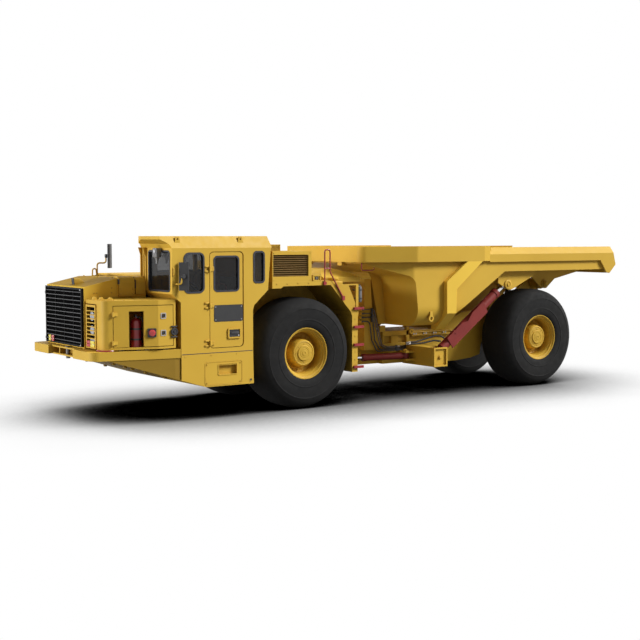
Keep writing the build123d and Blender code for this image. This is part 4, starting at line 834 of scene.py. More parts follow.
# service door: latches, stop button, extinguisher straps and hose
serviceDetail = {
    "bend": (4.35, 1.272), "corner": (5.012, 1.095),
    "latches": ((4.268, 0, 1.318), (4.268, 0, 1.566)),
    "latchFrame": ((-0.043, 1.268, -0.043), (0.043, 1.278, 0.043)),
    "latchPaddle": ((-0.022, 1.27, -0.022), (0.022, 1.282, 0.024)),
    "stop": (4.442, 1.325), "stopFrame": ((-0.064, -0.006, -0.064), (0.064, 0.016, 0.064)),
    "stopKnob": [(0, 0), (0.034, 0), (0.034, 0.014), (0.048, 0.018), (0.05, 0.024), (0.048, 0.031),
                 (0.036, 0.036), (0.018, 0.038), (0, 0.0385)],
    "bottle": (4.6, 1.06), "bottleRadius": 0.078, "bottleBands": (1.23, 1.38), "valveZ": 1.558,
    "valve": [(0, -0.03), (0.016, -0.03), (0.018, -0.01), (0.026, -0.008), (0.026, 0.012),
              (0.012, 0.016), (0.012, 0.03), (0, 0.03)],
    "hose": [(0, 0.02, -0.018), (-0.06, 0.03, 0.002), (-0.1, 0.04, -0.088), (-0.095, 0.045, -0.288)],
    "hoseRadius": 0.009, "hoseBend": 0.03,
    "isolator": (4.098, 1.272, 1.33), "isolatorBars": (-0.075, 0.075),
    "isolatorBar": ((-0.046, -0.002, -0.009), (0.05, 0.022, 0.009)),
    "isolatorDisc": [(0, 0.002), (0.052, 0.002), (0.056, 0.01), (0.056, 0.022), (0.05, 0.028),
                     (0.04, 0.028), (0.036, 0.022), (0.02, 0.022), (0.016, 0.034), (0, 0.036)],
    "footRing": (5.008, 0.95, 0),
    "ringShape": [(0, 1.0705), (0.15, 1.0705), (0.156, 1.078), (0.15, 1.0895), (0, 1.0895)],
    "feet": (4.2, 4.5, 4.62, 4.86, 5.0), "foot": ((-0.035, -0.09, 1.068), (0.035, -0.03, 1.095)),
    "frontBolts": [(5.115, 0.95, 1.62), (5.115, 0.95, 1.4), (5.118, 0.88, 1.62), (5.118, 0.88, 1.4)],
    "lidBolts": ((4.2, 1.24, 1.797), (4.95, 1.06, 1.797)), "lidBoltCount": 6,
}


def skinY(x):  # the door's outer skin in plan
    (x0, y0), (x1, y1) = serviceDetail["bend"], serviceDetail["corner"]
    return y0 if x < x0 else y0 + (y1 - y0) * (x - x0) / (x1 - x0)


def leanWithDoor(piece, x):
    (x0, y0), (x1, y1) = serviceDetail["bend"], serviceDetail["corner"]
    place = Matrix.Translation((x, skinY(x), 0))
    takeUp(piece)
    piece.matrix_world = place @ Matrix.Rotation(math.atan2(y1 - y0, x1 - x0), 4, "Z") @ place.inverted()
    settle()
    return piece


def makeLatches():
    frames, paddles = [], []
    for place in serviceDetail["latches"]:
        frames.append(addPanel(*movedTo(serviceDetail["latchFrame"], place), 0.014, 4, 0.011, -0.007))
        paddles.append(addPanel(*movedTo(serviceDetail["latchPaddle"], place), 0.008, 3, 0.007, -0.006))
    finishPiece(joinUp(*frames), "latchFrames", "service_door", "brightSteel")
    finishPiece(joinUp(*paddles), "latchPaddles", "service_door", "blackPaint")


def makeStopButton():
    x, z = serviceDetail["stop"]
    place = (x, skinY(x), z)
    panel = addPanel(*movedTo(serviceDetail["stopFrame"], place), 0.012, 3, 0.014, -0.012)
    frameBox = leanWithDoor(panel, x)
    button = addTurned(serviceDetail["stopKnob"], place, "Y", 32)
    finishPiece(frameBox, "stopButtonFrame", "service_door", "blackPaint")
    finishPiece(leanWithDoor(button, x), "stopButton", "service_door", "lampRed")


def makeExtinguisher():
    x, y = serviceDetail["bottle"]
    radius, top = serviceDetail["bottleRadius"], serviceDetail["valveZ"]
    bottle = addTurned([(0, 1.103), (radius - 0.01, 1.103), (radius, 1.112), (radius, 1.46),
                        (radius - 0.006, 1.49), (radius - 0.03, 1.52), (0.022, 1.533), (0.018, 1.55),
                        (0, 1.55)], (x, y, 0), "Z", 40)
    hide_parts("fire_extinguisher")
    finishPiece(bottle, "extinguisherBottle", "front_frame", "redPaint")
    band = [(radius - 0.004, -0.014), (radius + 0.004, -0.012), (radius + 0.005, 0), (radius + 0.004, 0.012),
            (radius - 0.004, 0.014), (radius - 0.004, -0.014)]
    straps = [addTurned(band, (x, y, z), "Z", 40) for z in serviceDetail["bottleBands"]]
    finishPiece(joinUp(*straps), "extinguisherStraps", "front_frame", "blackPaint")
    hose = addTube(movedTo(serviceDetail["hose"], (x, y, top)), serviceDetail["hoseRadius"],
                   serviceDetail["hoseBend"])
    finishPiece(hose, "extinguisherHose", "front_frame", "hoseRubber")
    valve = addTurned(serviceDetail["valve"], (x, y, top), "Z", 20)
    finishPiece(valve, "extinguisherValve", "front_frame", "blackPaint")


# round isolator on two black straps beside the cab's front corner
def makeIsolator():
    x, y, z = serviceDetail["isolator"]
    disc = addTurned(serviceDetail["isolatorDisc"], (x, y, z), "Y", 32)
    bars = [addSoftBlock(*movedTo(serviceDetail["isolatorBar"], (x, y, z + rise)), 0.004)
            for rise in serviceDetail["isolatorBars"]]
    finishPiece(joinUp(disc, *bars), "isolatorSwitch", "front_frame", "blackPaint")


# red ring under the cabinet's round corner, feet along the bumper, bolts
def makeCabinetDetails():
    ring = addTurned(serviceDetail["ringShape"], serviceDetail["footRing"], "Z", 48)
    finishPiece(ring, "cabinetFootRing", "front_frame", "redPaint")
    feet = [addSoftBlock(*movedTo(serviceDetail["foot"], (x, skinY(x), 0)), 0.005)
            for x in serviceDetail["feet"]]
    finishPiece(joinUp(*feet), "cabinetFeet", "front_frame", "blackPaint")
    boltGroup("cabinetBolts", "front_frame", "yellowPaint",
              [(serviceDetail["frontBolts"], "+X", 0.008),
               (along(*serviceDetail["lidBolts"], serviceDetail["lidBoltCount"]), "+Z", 0.009)])


makeLatches()
makeStopButton()
makeExtinguisher()
makeIsolator()
makeCabinetDetails()
print("service side fitted")

# cab: lamp, mirror clamps, door handle, plate, hinges and seams
cabDetail = {
    "lamp": ((4.15, 0.89, 2.4), (4.235, 1.01, 2.54)), "lampLens": (4.235, 0.96, 2.49),
    "lensShape": [(0, -0.002), (0.03, -0.002), (0.034, 0.004), (0.03, 0.012), (0.015, 0.016), (0, 0.017)],
    "lampNeck": (0.022, 0.05, 0.04), "lampTaper": (0.7, 0.55, 1),
    "plate": ((2.937, 1.299, 1.443), (3.439, 1.3035, 1.691)), "screwInset": 0.028,
    "handle": (3.092, 0, 1.262), "handleFrame": ((-0.115, 1.294, -0.078), (0.115, 1.318, 0.078)),
    "handlePocket": ((-0.098, 1.296, -0.06), (0.098, 1.3025, 0.06)),
    "handlePaddle": ((-0.07, 1.3, -0.016), (0.06, 1.313, 0.022)), "paddleTip": (-0.014, 0, 0),
    "paddleTaper": (1, 0.8, 0.8),
    "lock": (3.02, 1.302, 1.226),
    "lockShape": [(0, 0), (0.014, 0), (0.014, 0.012), (0.01, 0.016), (0, 0.016)],
    # hinge heights, then the leaf, the fixed plates and their bolts, measured up from each
    "hinges": (1.13, 1.69, 2.23),
    "hingeLeaf": ((3.44, 1.299, -0.036), (3.5, 1.312, 0.036)),
    "hingePlates": (((3.53, 1.299, -0.05), (3.6, 1.314, -0.022)), ((3.53, 1.299, 0.022), (3.6, 1.314, 0.05))),
    "leafBolts": ((3.455, 1.312, -0.018), (3.455, 1.312, 0.018)),
    "plateBolts": ((3.58, 1.314, -0.036), (3.58, 1.314, 0.036)),
    "strip": ((2.764, 1.284, 0.976), (3.984, 1.3015, 0.99)),
    "baseBolts": ((3.05, 1.3, 0.95), (3.93, 1.3, 0.95)),
    "frontBolts": [(4.135, 0.62, 2.522), (4.135, 0.7, 2.522), (4.135, 0.5, 1.93), (4.135, 0.5, 2.45)],
    "doorBolts": [(3.475, 1.3, 1.97), (2.965, 1.3, 1.97)],
    "gussets": (0.35, 0.5), "cornerStrips": ((0.345, 0.03), (0.41, 0.016), (0.49, 0.022)),
    "gussetBox": ((4.13, 2.38), (4.2, 2.545)), "gussetWidth": 0.014, "gussetLean": 0.055,
    "stripBox": ((4.13, 1.9), (4.134, 2.54)), "stripWidth": 0.022,
    "leftJaw": ((3.985, 1.375, 2.105), (4.008, 1.412, 2.145)),
    "leftKnob": (4.012, 1.418, 2.13), "rightKnob": (4.185, -0.775, 2.4), "rightFoot": (4.31, -0.85, 2.091),
    "knobShape": [(0, -0.026), (0.026, -0.026), (0.034, -0.016), (0.034, 0.012), (0.026, 0.02), (0, 0.02)],
    "collarShape": [(0, -0.03), (0.02, -0.03), (0.028, -0.018), (0.028, 0.018), (0.02, 0.03), (0, 0.03)],
    "footShape": [(0, 0), (0.045, 0), (0.045, 0.008), (0.02, 0.012), (0.018, 0.03), (0, 0.03)],
    "grip": [(4.112, 1.296, 2.25), (4.112, 1.32, 2.25), (4.112, 1.32, 2.15), (4.112, 1.296, 2.15)],
}


def makeCabLamp():
    addBlock(*cabDetail["lamp"])
    pick(lambda centre, normal: normal.z < -0.9)
    inset, cone, stem = cabDetail["lampNeck"]
    bpy.ops.mesh.inset(thickness=inset)
    push((0, 0, -cone))
    bpy.ops.transform.resize(value=cabDetail["lampTaper"])
    push((0, 0, -stem))
    bpy.ops.object.mode_set(mode="OBJECT")
    roundEdges(0.008, 2)
    finishPiece(bpy.context.object, "cabLamp", "front_frame", "lampGrey")
    lens = addTurned(cabDetail["lensShape"], cabDetail["lampLens"], "X", 28)
    finishPiece(lens, "cabLampLens", "front_frame", "lampFace")


def makeDoorPlate():
    low, high = cabDetail["plate"]
    finishPiece(addPanel(low, high, 0.022, 4, 0.008, -0.001), "doorPlate", "cab_door", "mirrorPlastic")
    boltGroup("doorPlateScrews", "cab_door", "brightSteel",
              [(faceCorners(low, high, cabDetail["screwInset"]), "+Y", 0.006)])


# pressed frame, its shallow pocket, then the black paddle in it
def makeDoorHandle():
    place = cabDetail["handle"]
    frameRing = makeRing(*movedTo(cabDetail["handleFrame"], place), 0.022, 0.024)
    finishPiece(frameRing, "handleFrame", "cab_door", "yellowPaint")
    plate = addBlock(*movedTo(cabDetail["handlePocket"], place))
    finishPiece(plate, "handlePocket", "cab_door", "blackPaint")
    addBlock(*movedTo(cabDetail["handlePaddle"], place))
    pick(lambda centre, normal: normal.x < -0.9)
    push(cabDetail["paddleTip"])
    bpy.ops.transform.resize(value=cabDetail["paddleTaper"])
    bpy.ops.object.mode_set(mode="OBJECT")
    roundEdges(0.005, 2)
    finishPiece(bpy.context.object, "doorHandle", "cab_door", "consolePlastic")
    finishPiece(addTurned(cabDetail["lockShape"], cabDetail["lock"], "Y", 20), "doorLock", "cab_door",
                "brightSteel")


def makeHinges():
    heights = cabDetail["hinges"]
    for name, body, blocks in (("doorHingeLeaves", "cab_door", (cabDetail["hingeLeaf"],)),
                               ("doorHingePlates", "front_frame", cabDetail["hingePlates"])):
        made = [addSoftBlock(*movedTo(block, (0, 0, z)), 0.005) for z in heights for block in blocks]
        finishPiece(joinUp(*made), name, body, "yellowPaint")
    for name, body, bolts in (("doorHingeBolts", "cab_door", "leafBolts"),
                              ("cabHingeBolts", "front_frame", "plateBolts")):
        spots = [spot for z in heights for spot in movedTo(cabDetail[bolts], (0, 0, z))]
        boltGroup(name, body, "yellowPaint", [(spots, "+Y", 0.007)])


# rubber strip between the cab and its base, and the cab's bolts
def makeCabSeams():
    strip = addSoftBlock(*cabDetail["strip"], 0.003, 1)
    finishPiece(strip, "cabMountStrip", "front_frame", "windowRubber")
    boltGroup("cabBolts", "front_frame", "yellowPaint",
              [(along(*cabDetail["baseBolts"], 3), "+Y", 0.008), (cabDetail["frontBolts"], "+X", 0.007)])
    boltGroup("doorBolts", "cab_door", "yellowPaint", [(cabDetail["doorBolts"], "+Y", 0.007)])


# ball clamps where the arms meet the mirror backs
def makeMirrorClamps():
    knob = addTurned(cabDetail["knobShape"], cabDetail["leftKnob"], "Y", 24)
    jaw = addSoftBlock(*cabDetail["leftJaw"], 0.005)
    finishPiece(joinUp(knob, jaw), "leftMirrorClamp", "front_frame", "blackPaint")
    far = addTurned(cabDetail["collarShape"], cabDetail["rightKnob"], "Z", 24)
    finishPiece(far, "rightMirrorClamp", "front_frame", "blackPaint")
    foot = addTurned(cabDetail["footShape"], cabDetail["rightFoot"], "Z", 24)
    finishPiece(foot, "rightMirrorFoot", "front_frame", "yellowPaint")
    finishPiece(addTube(cabDetail["grip"], 0.009, 0.012), "cabSideGrip", "front_frame", "yellowPaint")


# stiffeners at the cab's inner front corner, below the roof
def makeCornerStrips():
    plates = []
    (back, bottom), (front, top) = cabDetail["gussetBox"]
    for y in cabDetail["gussets"]:
        addBlock((back, y, bottom), (front, y + cabDetail["gussetWidth"], top))
        pick(lambda place: place.x > front - 0.01 and place.z < (bottom + top) / 2, "VERT")
        bpy.ops.transform.translate(value=(-cabDetail["gussetLean"], 0, 0))
        bpy.ops.object.mode_set(mode="OBJECT")
        roundEdges(0.003, 1)
        plates.append(bpy.context.object)
    (back, bottom), (front, top) = cabDetail["stripBox"]
    for y, reach in cabDetail["cornerStrips"]:
        high = (front + reach, y + cabDetail["stripWidth"], top)
        plates.append(addSoftBlock((back, y, bottom), high, 0.004))
    finishPiece(joinUp(*plates), "cabCornerStrips", "front_frame", "yellowPaint")


makeCabLamp()
makeDoorPlate()
makeDoorHandle()
makeHinges()
makeCabSeams()
makeMirrorClamps()
makeCornerStrips()
print("cab fitted")

# step side, fenders and the gear behind the cab
sideDetail = {
    "panel": ((2.95, 1.297, 0.5), (3.6, 1.305, 0.85)), "rim": 0.008, "boltInset": 0.035,
    "lip": ((3.04, 1.296, 0.64), (3.375, 1.307, 0.818)),
    "tray": ((3.032, 1.235, 0.638), (3.39, 1.274, 0.802)),
    "drain": (2.8, 1.3, 0.54),
    "drainRing": [(0.019, 0.001), (0.019, 0.004), (0.028, 0.004), (0.03, 0.001), (0.019, 0.001)],
    "drainPlug": [(0, 0.002), (0.019, 0.002), (0.019, 0), (0, 0)],
    "keelX": 3.581, "bellyBolts": (4.94, 4.76, 4.64, 4.43, 4.11),
    "intake": ((2.2, 0.96, 2.478), (2.372, 1.2, 2.58)), "intakeSlats": (2.502, 2.522, 2.542, 2.558),
    "socket": ((1.462, 1.19, 2.003), (1.618, 1.25, 2.106)), "socketMouth": (1.54, 1.25, 2.054),
    "mouthShape": [(0.022, 0.001), (0.022, 0.006), (0.034, 0.006), (0.034, 0.001), (0.022, 0.001)],
    "coreShape": [(0, 0.001), (0.014, 0.001), (0.012, 0.008), (0, 0.009)],
    "fillerBox": ((0.92, 0.93, 1.93), (1.18, 1.11, 1.99)), "fillerNeck": (1.05, 1.02, 1.986),
    "neckShape": [(0, 0), (0.075, 0), (0.075, 0.02), (0.085, 0.024), (0.088, 0.03), (0.088, 0.05),
                  (0.08, 0.058), (0, 0.06)],
    "accumulator": (0.6, 1.13, 0), "bandHeights": (1.69, 1.83),
    "bottleShape": [(0, 1.64), (0.028, 1.64), (0.038, 1.655), (0.04, 1.67), (0.04, 1.87), (0.036, 1.89),
                    (0.018, 1.905), (0.016, 1.925), (0, 1.925)],
    "bandShape": [(0.04, 0), (0.045, 0), (0.045, 0.02), (0.04, 0.02), (0.04, 0)],
    "bandStay": ((0.63, 1.12, 0.002), (0.735, 1.24, 0.018)),
    "fenderBolts": [(x, 1.262, 1.978) for x in (2.3, 2.1, 1.9, 1.7, 1.35)],
    "postBolts": [(0.782, 1.262, z) for z in (0.72, 0.85, 1.1, 1.38)],
    "coolerBolts": [(x, 1.262, z) for x in (1.668, 2.35) for z in (2.035, 2.455)],
    "rungBolts": [(x, 1.296, z) for x in (0.66, 0.79) for z in (0.6, 0.96, 1.25, 1.55)],
}


def makeStepSide():
    low, high = sideDetail["panel"]
    panel = makeRing(low, high, sideDetail["rim"], 0.03)
    lip = makeRing(*sideDetail["lip"], 0.012, 0.016)
    addBlock(*sideDetail["tray"])
    tray = dishFace("+Y", 0.012, -0.028)
    finishPiece(joinUp(panel, lip, tray), "stepPanel", "front_frame", "yellowPaint")
    boltGroup("stepBolts", "front_frame", "yellowPaint",
              [(faceCorners(low, high, sideDetail["boltInset"]), "+Y", 0.008)])
    drain = addTurned(sideDetail["drainRing"], sideDetail["drain"], "Y", 24)
    plug = addTurned(sideDetail["drainPlug"], sideDetail["drain"], "Y", 20)
    finishPiece(drain, "drainRing", "front_frame", "yellowPaint")
    finishPiece(plug, "drainPlug", "front_frame", "blackPaint")
    low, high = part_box("belly_guard")
    keelX = sideDetail["keelX"]
    rise = (high.z - low.z) / (high.x - keelX)
    bellySpots = [(x, 1.02, low.z + rise * (x - keelX) - 0.004) for x in sideDetail["bellyBolts"]]
    boltGroup("bellyBolts", "front_frame", "bellyPaint", [(bellySpots, "-Z", 0.027)], True)


# louvred intake on top of the cooler
def makeIntake():
    low, high = (Vector(corner) for corner in sideDetail["intake"])
    addBlock(low, high)
    intake = dishFace("+Y", 0.014, -0.025)
    roundEdges(0.004, 1)
    slats = [addBlock((low.x + 0.014, high.y - 0.022, z), (high.x - 0.014, high.y - 0.002, z + 0.008))
             for z in sideDetail["intakeSlats"]]
    finishPiece(joinUp(intake, *slats), "coolerIntake", "front_frame", "yellowPaint")
    rim = makeRing((low.x - 0.006, high.y - 0.006, low.z + 0.002),
                   (high.x + 0.006, high.y + 0.006, high.z + 0.006), 0.012, 0.006)
    finishPiece(rim, "coolerIntakeRim", "front_frame", "yellowPaint")


# socket beside the cooler: a raised frame, black inside, with a grey centre
def makeSocket():
    low, high = sideDetail["socket"]
    socket = addSoftBlock(low, high, 0.006)
    rim = makeRing((low[0], high[1] - 0.002, low[2]), (high[0], high[1] + 0.012, high[2]), 0.022, 0.012)
    finishPiece(joinUp(socket, rim), "sideSocket", "front_frame", "yellowPaint")
    mouth = addTurned(sideDetail["mouthShape"], sideDetail["socketMouth"], "Y", 24)
    finishPiece(mouth, "socketMouth", "front_frame", "blackPaint")
    core = addTurned(sideDetail["coreShape"], sideDetail["socketMouth"], "Y", 20)
    finishPiece(core, "socketCore", "front_frame", "lampGrey")


# filler box with its round cap at the fender's tail
def makeFiller():
    base = addSoftBlock(*sideDetail["fillerBox"], 0.01)
    neck = addTurned(sideDetail["neckShape"], sideDetail["fillerNeck"], "Z", 36)
    finishPiece(joinUp(base, neck), "fillerCap", "front_frame", "yellowPaint")


# accumulator on the inner side of the fender's tail, held by two bands
def makeAccumulator():
    place, heights = sideDetail["accumulator"], sideDetail["bandHeights"]
    bottle = addTurned(sideDetail["bottleShape"], place, "Z", 28)
    finishPiece(bottle, "accumulator", "front_frame", "lampGrey")
    bands = [addTurned(movedTo(sideDetail["bandShape"], (0, z)), place, "Z", 28) for z in heights]
    stays = [addBlock(*movedTo(sideDetail["bandStay"], (0, 0, z))) for z in heights]
    finishPiece(joinUp(*bands, *stays), "accumulatorBands", "front_frame", "blackPaint")


def makeFenderBolts():
    boltGroup("fenderBolts", "front_frame", "yellowPaint",
              [(sideDetail["fenderBolts"], "+Y", 0.009), (sideDetail["postBolts"], "+Y", 0.009)], True)
    boltGroup("coolerBolts", "front_frame", "yellowPaint", [(sideDetail["coolerBolts"], "+Y", 0.008)])
    boltGroup("rungBolts", "front_frame", "redPaint", [(sideDetail["rungBolts"], "+Y", 0.007)], True)


makeStepSide()
makeIntake()
makeSocket()
makeFiller()
makeAccumulator()
makeFenderBolts()
print("sides fitted")

# rear frame and dump body
rearDetail = {
    # each rib of the rail: lowest and highest x, lowest and highest z
    "ribs": ((-0.98, -0.4, 0.985, 1.072), (-0.98, -0.4, 0.79, 0.857), (-0.437, -0.4, 0.85, 1.0),
             (-0.75, -0.593, 0.85, 1.0), (-1.0, -0.93, 0.79, 1.13), (-0.46, -0.335, 1.06, 1.17)),
    "ribSpan": (0.42, 0.488),
    "skirt": [(-1.9, 0.465), (-2.13, 0.458), (-2.5, 0.488), (-2.73, 0.541), (-2.76, 0.72), (-3.0, 1.14),
              (-2.2, 0.75)],
    "skirtSpan": (0.392, 0.431),
    "channel": ((-1.98, 0.42, 0.962), (-1.04, 0.505, 1.03)), "pads": (-1.12, -1.35, -1.58, -1.81),
    "pad": ((-0.045, 0.47, 0.968), (0.045, 0.495, 1.024)),
    "padBolts": ((-0.026, 0.495, 0.996), (0.026, 0.495, 0.996)),
    "shackle": (-1.03, 0.5, 1.045),
    "shackleShape": [(0.02, -0.012), (0.045, -0.012), (0.05, -0.006), (0.05, 0.006), (0.045, 0.012),
                     (0.02, 0.012), (0.02, -0.012)],
    # heights of the line ends, then the rounds at each: x, y, radius, length and sides
    "fittings": (
        ((1.468, 1.4, 1.334, 1.266), ((0.078, 0.535, 0.017, 0.03, 6), (0.05, 0.535, 0.0136, 0.026, 16))),
        ((0.805, 0.785, 0.762, 0.738), ((-0.86, 0.535, 0.01275, 0.03, 6),)),
        ((0.862, 0.833), ((-0.9, 0.6, 0.01785, 0.05, 6), (-0.85, 0.6, 0.0136, 0.05, 16)))),
    "saddles": (((-0.68, 0.515, 0.72), (-0.65, 0.555, 0.825)), ((-0.14, 0.515, 1.25), (-0.11, 0.555, 1.485))),
    "feedHoses": ([(-0.88, 0.6, 0.862), (-1.06, 0.6, 0.866), (-1.26, 0.6, 0.905), (-1.48, 0.6, 0.95),
                   (-1.63, 0.61, 0.94), (-1.72, 0.63, 0.88)],
                  [(-0.88, 0.6, 0.833), (-1.22, 0.6, 0.835), (-1.46, 0.61, 0.868), (-1.6, 0.63, 0.85)]),
    "hoseRadius": 0.015, "hoseBend": 0.12,
    "steerPin": (-0.765, 0.655, 0.733), "hingePin": (-4.09, 0.77, 1.82), "hoistPin": (-2.633, 1.249, 1.857),
    "steerCap": [(0, 0), (0.042, 0), (0.042, 0.014), (0.034, 0.02), (0.018, 0.02), (0.018, 0.03), (0, 0.03)],
    "hoistRing": [(0, 0), (0.078, 0), (0.084, 0.004), (0.084, 0.014), (0.074, 0.02), (0.05, 0.02),
                  (0.046, 0.014), (0, 0.014)],
    "hoistHead": (-2.633, 1.272, 1.857), "hoistHeadSize": (0.032, 0.016),
    "footBolt": (-1.04, 1.25, 0.652),
    "webBolts": [(x, 1.25, z) for x in (-1.14, -0.94) for z in (0.545, 0.76)],
    "guardPlugs": ((-1.403, 1.242, 1.045), (-1.36, 1.242, 1.09), (-2.1, 1.242, 1.62)),
    "grab": [(0.47, 1.02, 2.272), (0.47, 1.02, 2.152), (0.21, 1.02, 2.152), (0.21, 1.02, 2.205)],
    "grabRadius": 0.009, "grabBend": 0.03,
    "rimBlock": ((0.42, 0.44, 2.222), (0.54, 0.56, 2.3)),
    "tailLamp": (-4.215, 0.37, 1.62), "tailLampHalf": (0.03, 0.06, 0.11), "redUp": 0.045, "yellowDown": 0.05,
    "lampRim": [(0.038, 0), (0.05, 0), (0.05, -0.02), (0.038, -0.02), (0.038, 0)],
    "lampDome": [(0, -0.004), (0.036, -0.004), (0.034, -0.012), (0.02, -0.018), (0, -0.02)],
}


def makeRails():
    near, far = rearDetail["ribSpan"]
    ribs = [addSoftBlock((x0, near, z0), (x1, far, z1), 0.004, 1) for x0, x1, z0, z1 in rearDetail["ribs"]]
    bothSides(joinUp(*ribs), "railRibs", "rear_frame", "yellowPaint")
    # the rail's deep lower plate between the bracket and the axle
    skirt = addPlate(rearDetail["skirt"], *rearDetail["skirtSpan"])
    bothSides(skirt, "railSkirts", "rear_frame", "yellowPaint")
    # slotted channel towards the hoist
    addBlock(*rearDetail["channel"])
    channel = dishFace("+Y", 0.012, -0.025)
    roundEdges(0.003, 1)
    pads = [addSoftBlock(*movedTo(rearDetail["pad"], (x, 0, 0)), 0.006, 1) for x in rearDetail["pads"]]
    bothSides(joinUp(channel, *pads), "railChannels", "rear_frame", "yellowPaint")
    spots = [spot for x in rearDetail["pads"] for spot in movedTo(rearDetail["padBolts"], (x, 0, 0))]
    boltGroup("railBolts", "rear_frame", "brightSteel", [(spots, "+Y", 0.011)], True)
    # shackle plate between the ribs and the channel
    shackle = addTurned(rearDetail["shackleShape"], rearDetail["shackle"], "Y", 28)
    bothSides(shackle, "railShackles", "rear_frame", "yellowPaint")


def makeLines():
    nuts = [addRound((x, y, z), radius, length, "X", sides) for heights, rounds in rearDetail["fittings"]
            for z in heights for x, y, radius, length, sides in rounds]
    finishPiece(joinUp(*nuts), "lineFittings", "rear_frame", "pipeSteel")
    # saddles that hold the four lines together
    saddles = [addSoftBlock(low, high, 0.004, 1) for low, high in rearDetail["saddles"]]
    finishPiece(joinUp(*saddles), "lineSaddles", "rear_frame", "blackPaint")
    hoses = [addTube(route, rearDetail["hoseRadius"], rearDetail["hoseBend"])
             for route in rearDetail["feedHoses"]]
    bothSides(joinUp(*hoses), "hoistFeedHoses", "rear_frame", "hoseRubber")


def makePins():
    cap = addTurned(rearDetail["steerCap"], rearDetail["steerPin"], "Z", 28)
    bothSides(cap, "steerPinCaps", "rear_frame", "yellowPaint")
    boltGroup("hingeNuts", "rear_frame", "yellowPaint", [([rearDetail["hingePin"]], "+Y", 0.046)], True)
    ring = addTurned(rearDetail["hoistRing"], rearDetail["hoistPin"], "Y", 32)
    head = addRound(rearDetail["hoistHead"], *rearDetail["hoistHeadSize"], "Y", 6)
    bothSides(joinUp(ring, head), "hoistPinCaps", "dump_body", "yellowPaint")
    boltGroup("footBolts", "rear_frame", "yellowPaint", [([rearDetail["footBolt"]], "+Y", 0.032)], True)
    boltGroup("webBolts", "rear_frame", "yellowPaint", [(rearDetail["webBolts"], "+Y", 0.01)], True)


def makeHoistPlugs():
    for side, name, toward in ((1, "left", "+Y"), (-1, "right", "-Y")):
        spots = [(x, y * side, z) for x, y, z in rearDetail["guardPlugs"]]
        boltGroup(name + "GuardPlugs", name + "_hoist_barrel", "cylinderPaint", [(spots, toward, 0.012)])


def makeDumpDetails():
    grab = addTube(rearDetail["grab"], rearDetail["grabRadius"], rearDetail["grabBend"])
    bothSides(grab, "dumpGrabs", "dump_body", "redPaint")
    bothSides(addSoftBlock(*rearDetail["rimBlock"], 0.008), "rimBlocks", "dump_body", "yellowPaint")


# tail lamps behind round rims on the frame's end
def makeTailLamps():
    middle, half = Vector(rearDetail["tailLamp"]), Vector(rearDetail["tailLampHalf"])
    housing = addSoftBlock(middle - half, middle + half, 0.012)
    back = middle.x - half.x
    upper = (back, middle.y, middle.z + rearDetail["redUp"])
    lower = (back, middle.y, middle.z - rearDetail["yellowDown"])
    rim = addTurned(rearDetail["lampRim"], upper, "X", 28)
    red, yellow = [addTurned(rearDetail["lampDome"], place, "X", 28) for place in (upper, lower)]
    bothSides(joinUp(housing, rim), "tailLampBoxes", "rear_frame", "blackPaint")
    bothSides(red, "tailLampRed", "rear_frame", "lampRed")
    bothSides(yellow, "tailLampYellow", "rear_frame", "lampYellow")


makeRails()
makeLines()
makePins()
makeHoistPlugs()
makeDumpDetails()
makeTailLamps()
print("rear fitted")

# inside the cab: posts, a rail, wheel on the console, padded seat
insideDetail = {
    "posts": ((2.95, 0.4, 0), (3.25, 0.4, 0), (3.62, 0.4, 0), (3.95, 0.42, 0)),
    "post": ((-0.03, -0.012, 1.1), (0.03, 0.03, 2.5)),
    "beams": ((0, 0, 1.62), (0, 0, 2.12)), "beam": ((2.7, 0.39, 0), (4.0, 0.43, 0.05)),
    "rail": [(3.06, 1.02, 1.5), (3.06, 1.02, 1.98), (3.32, 1.02, 2.02), (3.46, 1.0, 1.7)],
    "railRadius": 0.012, "railBend": 0.05,
    "wheel": (3.62, 0.83, 2.0), "wheelRadius": 0.17, "wheelGrip": 0.014, "wheelLean": -32,
    "wheelHub": [(0, -0.02), (0.045, -0.02), (0.05, 0), (0.045, 0.014), (0, 0.016)],
    "wheelSpokes": (((-0.17, -0.016, -0.008), (0.17, 0.016, 0.008)),
                    ((-0.016, -0.17, -0.008), (0.016, 0, 0.008))),
    "seatShrink": 0.012, "voxel": 0.006, "pressure": 4.0, "reach": 0.016, "frames": 20, "clearance": 0.001,
}


def makeInside():
    posts = [addSoftBlock(*movedTo(insideDetail[what], place), 0.008)
             for what in ("post", "beam") for place in insideDetail[what + "s"]]
    finishPiece(joinUp(*posts), "cabInnerPosts", "front_frame", "yellowPaint")
    rail = addTube(insideDetail["rail"], insideDetail["railRadius"], insideDetail["railBend"])
    finishPiece(rail, "seatSideRail", "front_frame", "redPaint")
    radius, grip = insideDetail["wheelRadius"], insideDetail["wheelGrip"]
    rim = [(radius + grip * math.cos(math.radians(a)), grip * math.sin(math.radians(a)))
           for a in range(0, 361, 45)]
    hoop = addTurned(rim, (0, 0, 0), "Z", 36)
    hub = addTurned(insideDetail["wheelHub"], (0, 0, 0), "Z", 24)
    spokes = [addBlock(low, high) for low, high in insideDetail["wheelSpokes"]]
    wheel = joinUp(hoop, hub, *spokes)
    lean = Matrix.Rotation(math.radians(insideDetail["wheelLean"]), 4, "Y")
    wheel.matrix_world = Matrix.Translation(insideDetail["wheel"]) @ lean
    settle()
    finishPiece(wheel, "steeringWheel", "front_frame", "consolePlastic")


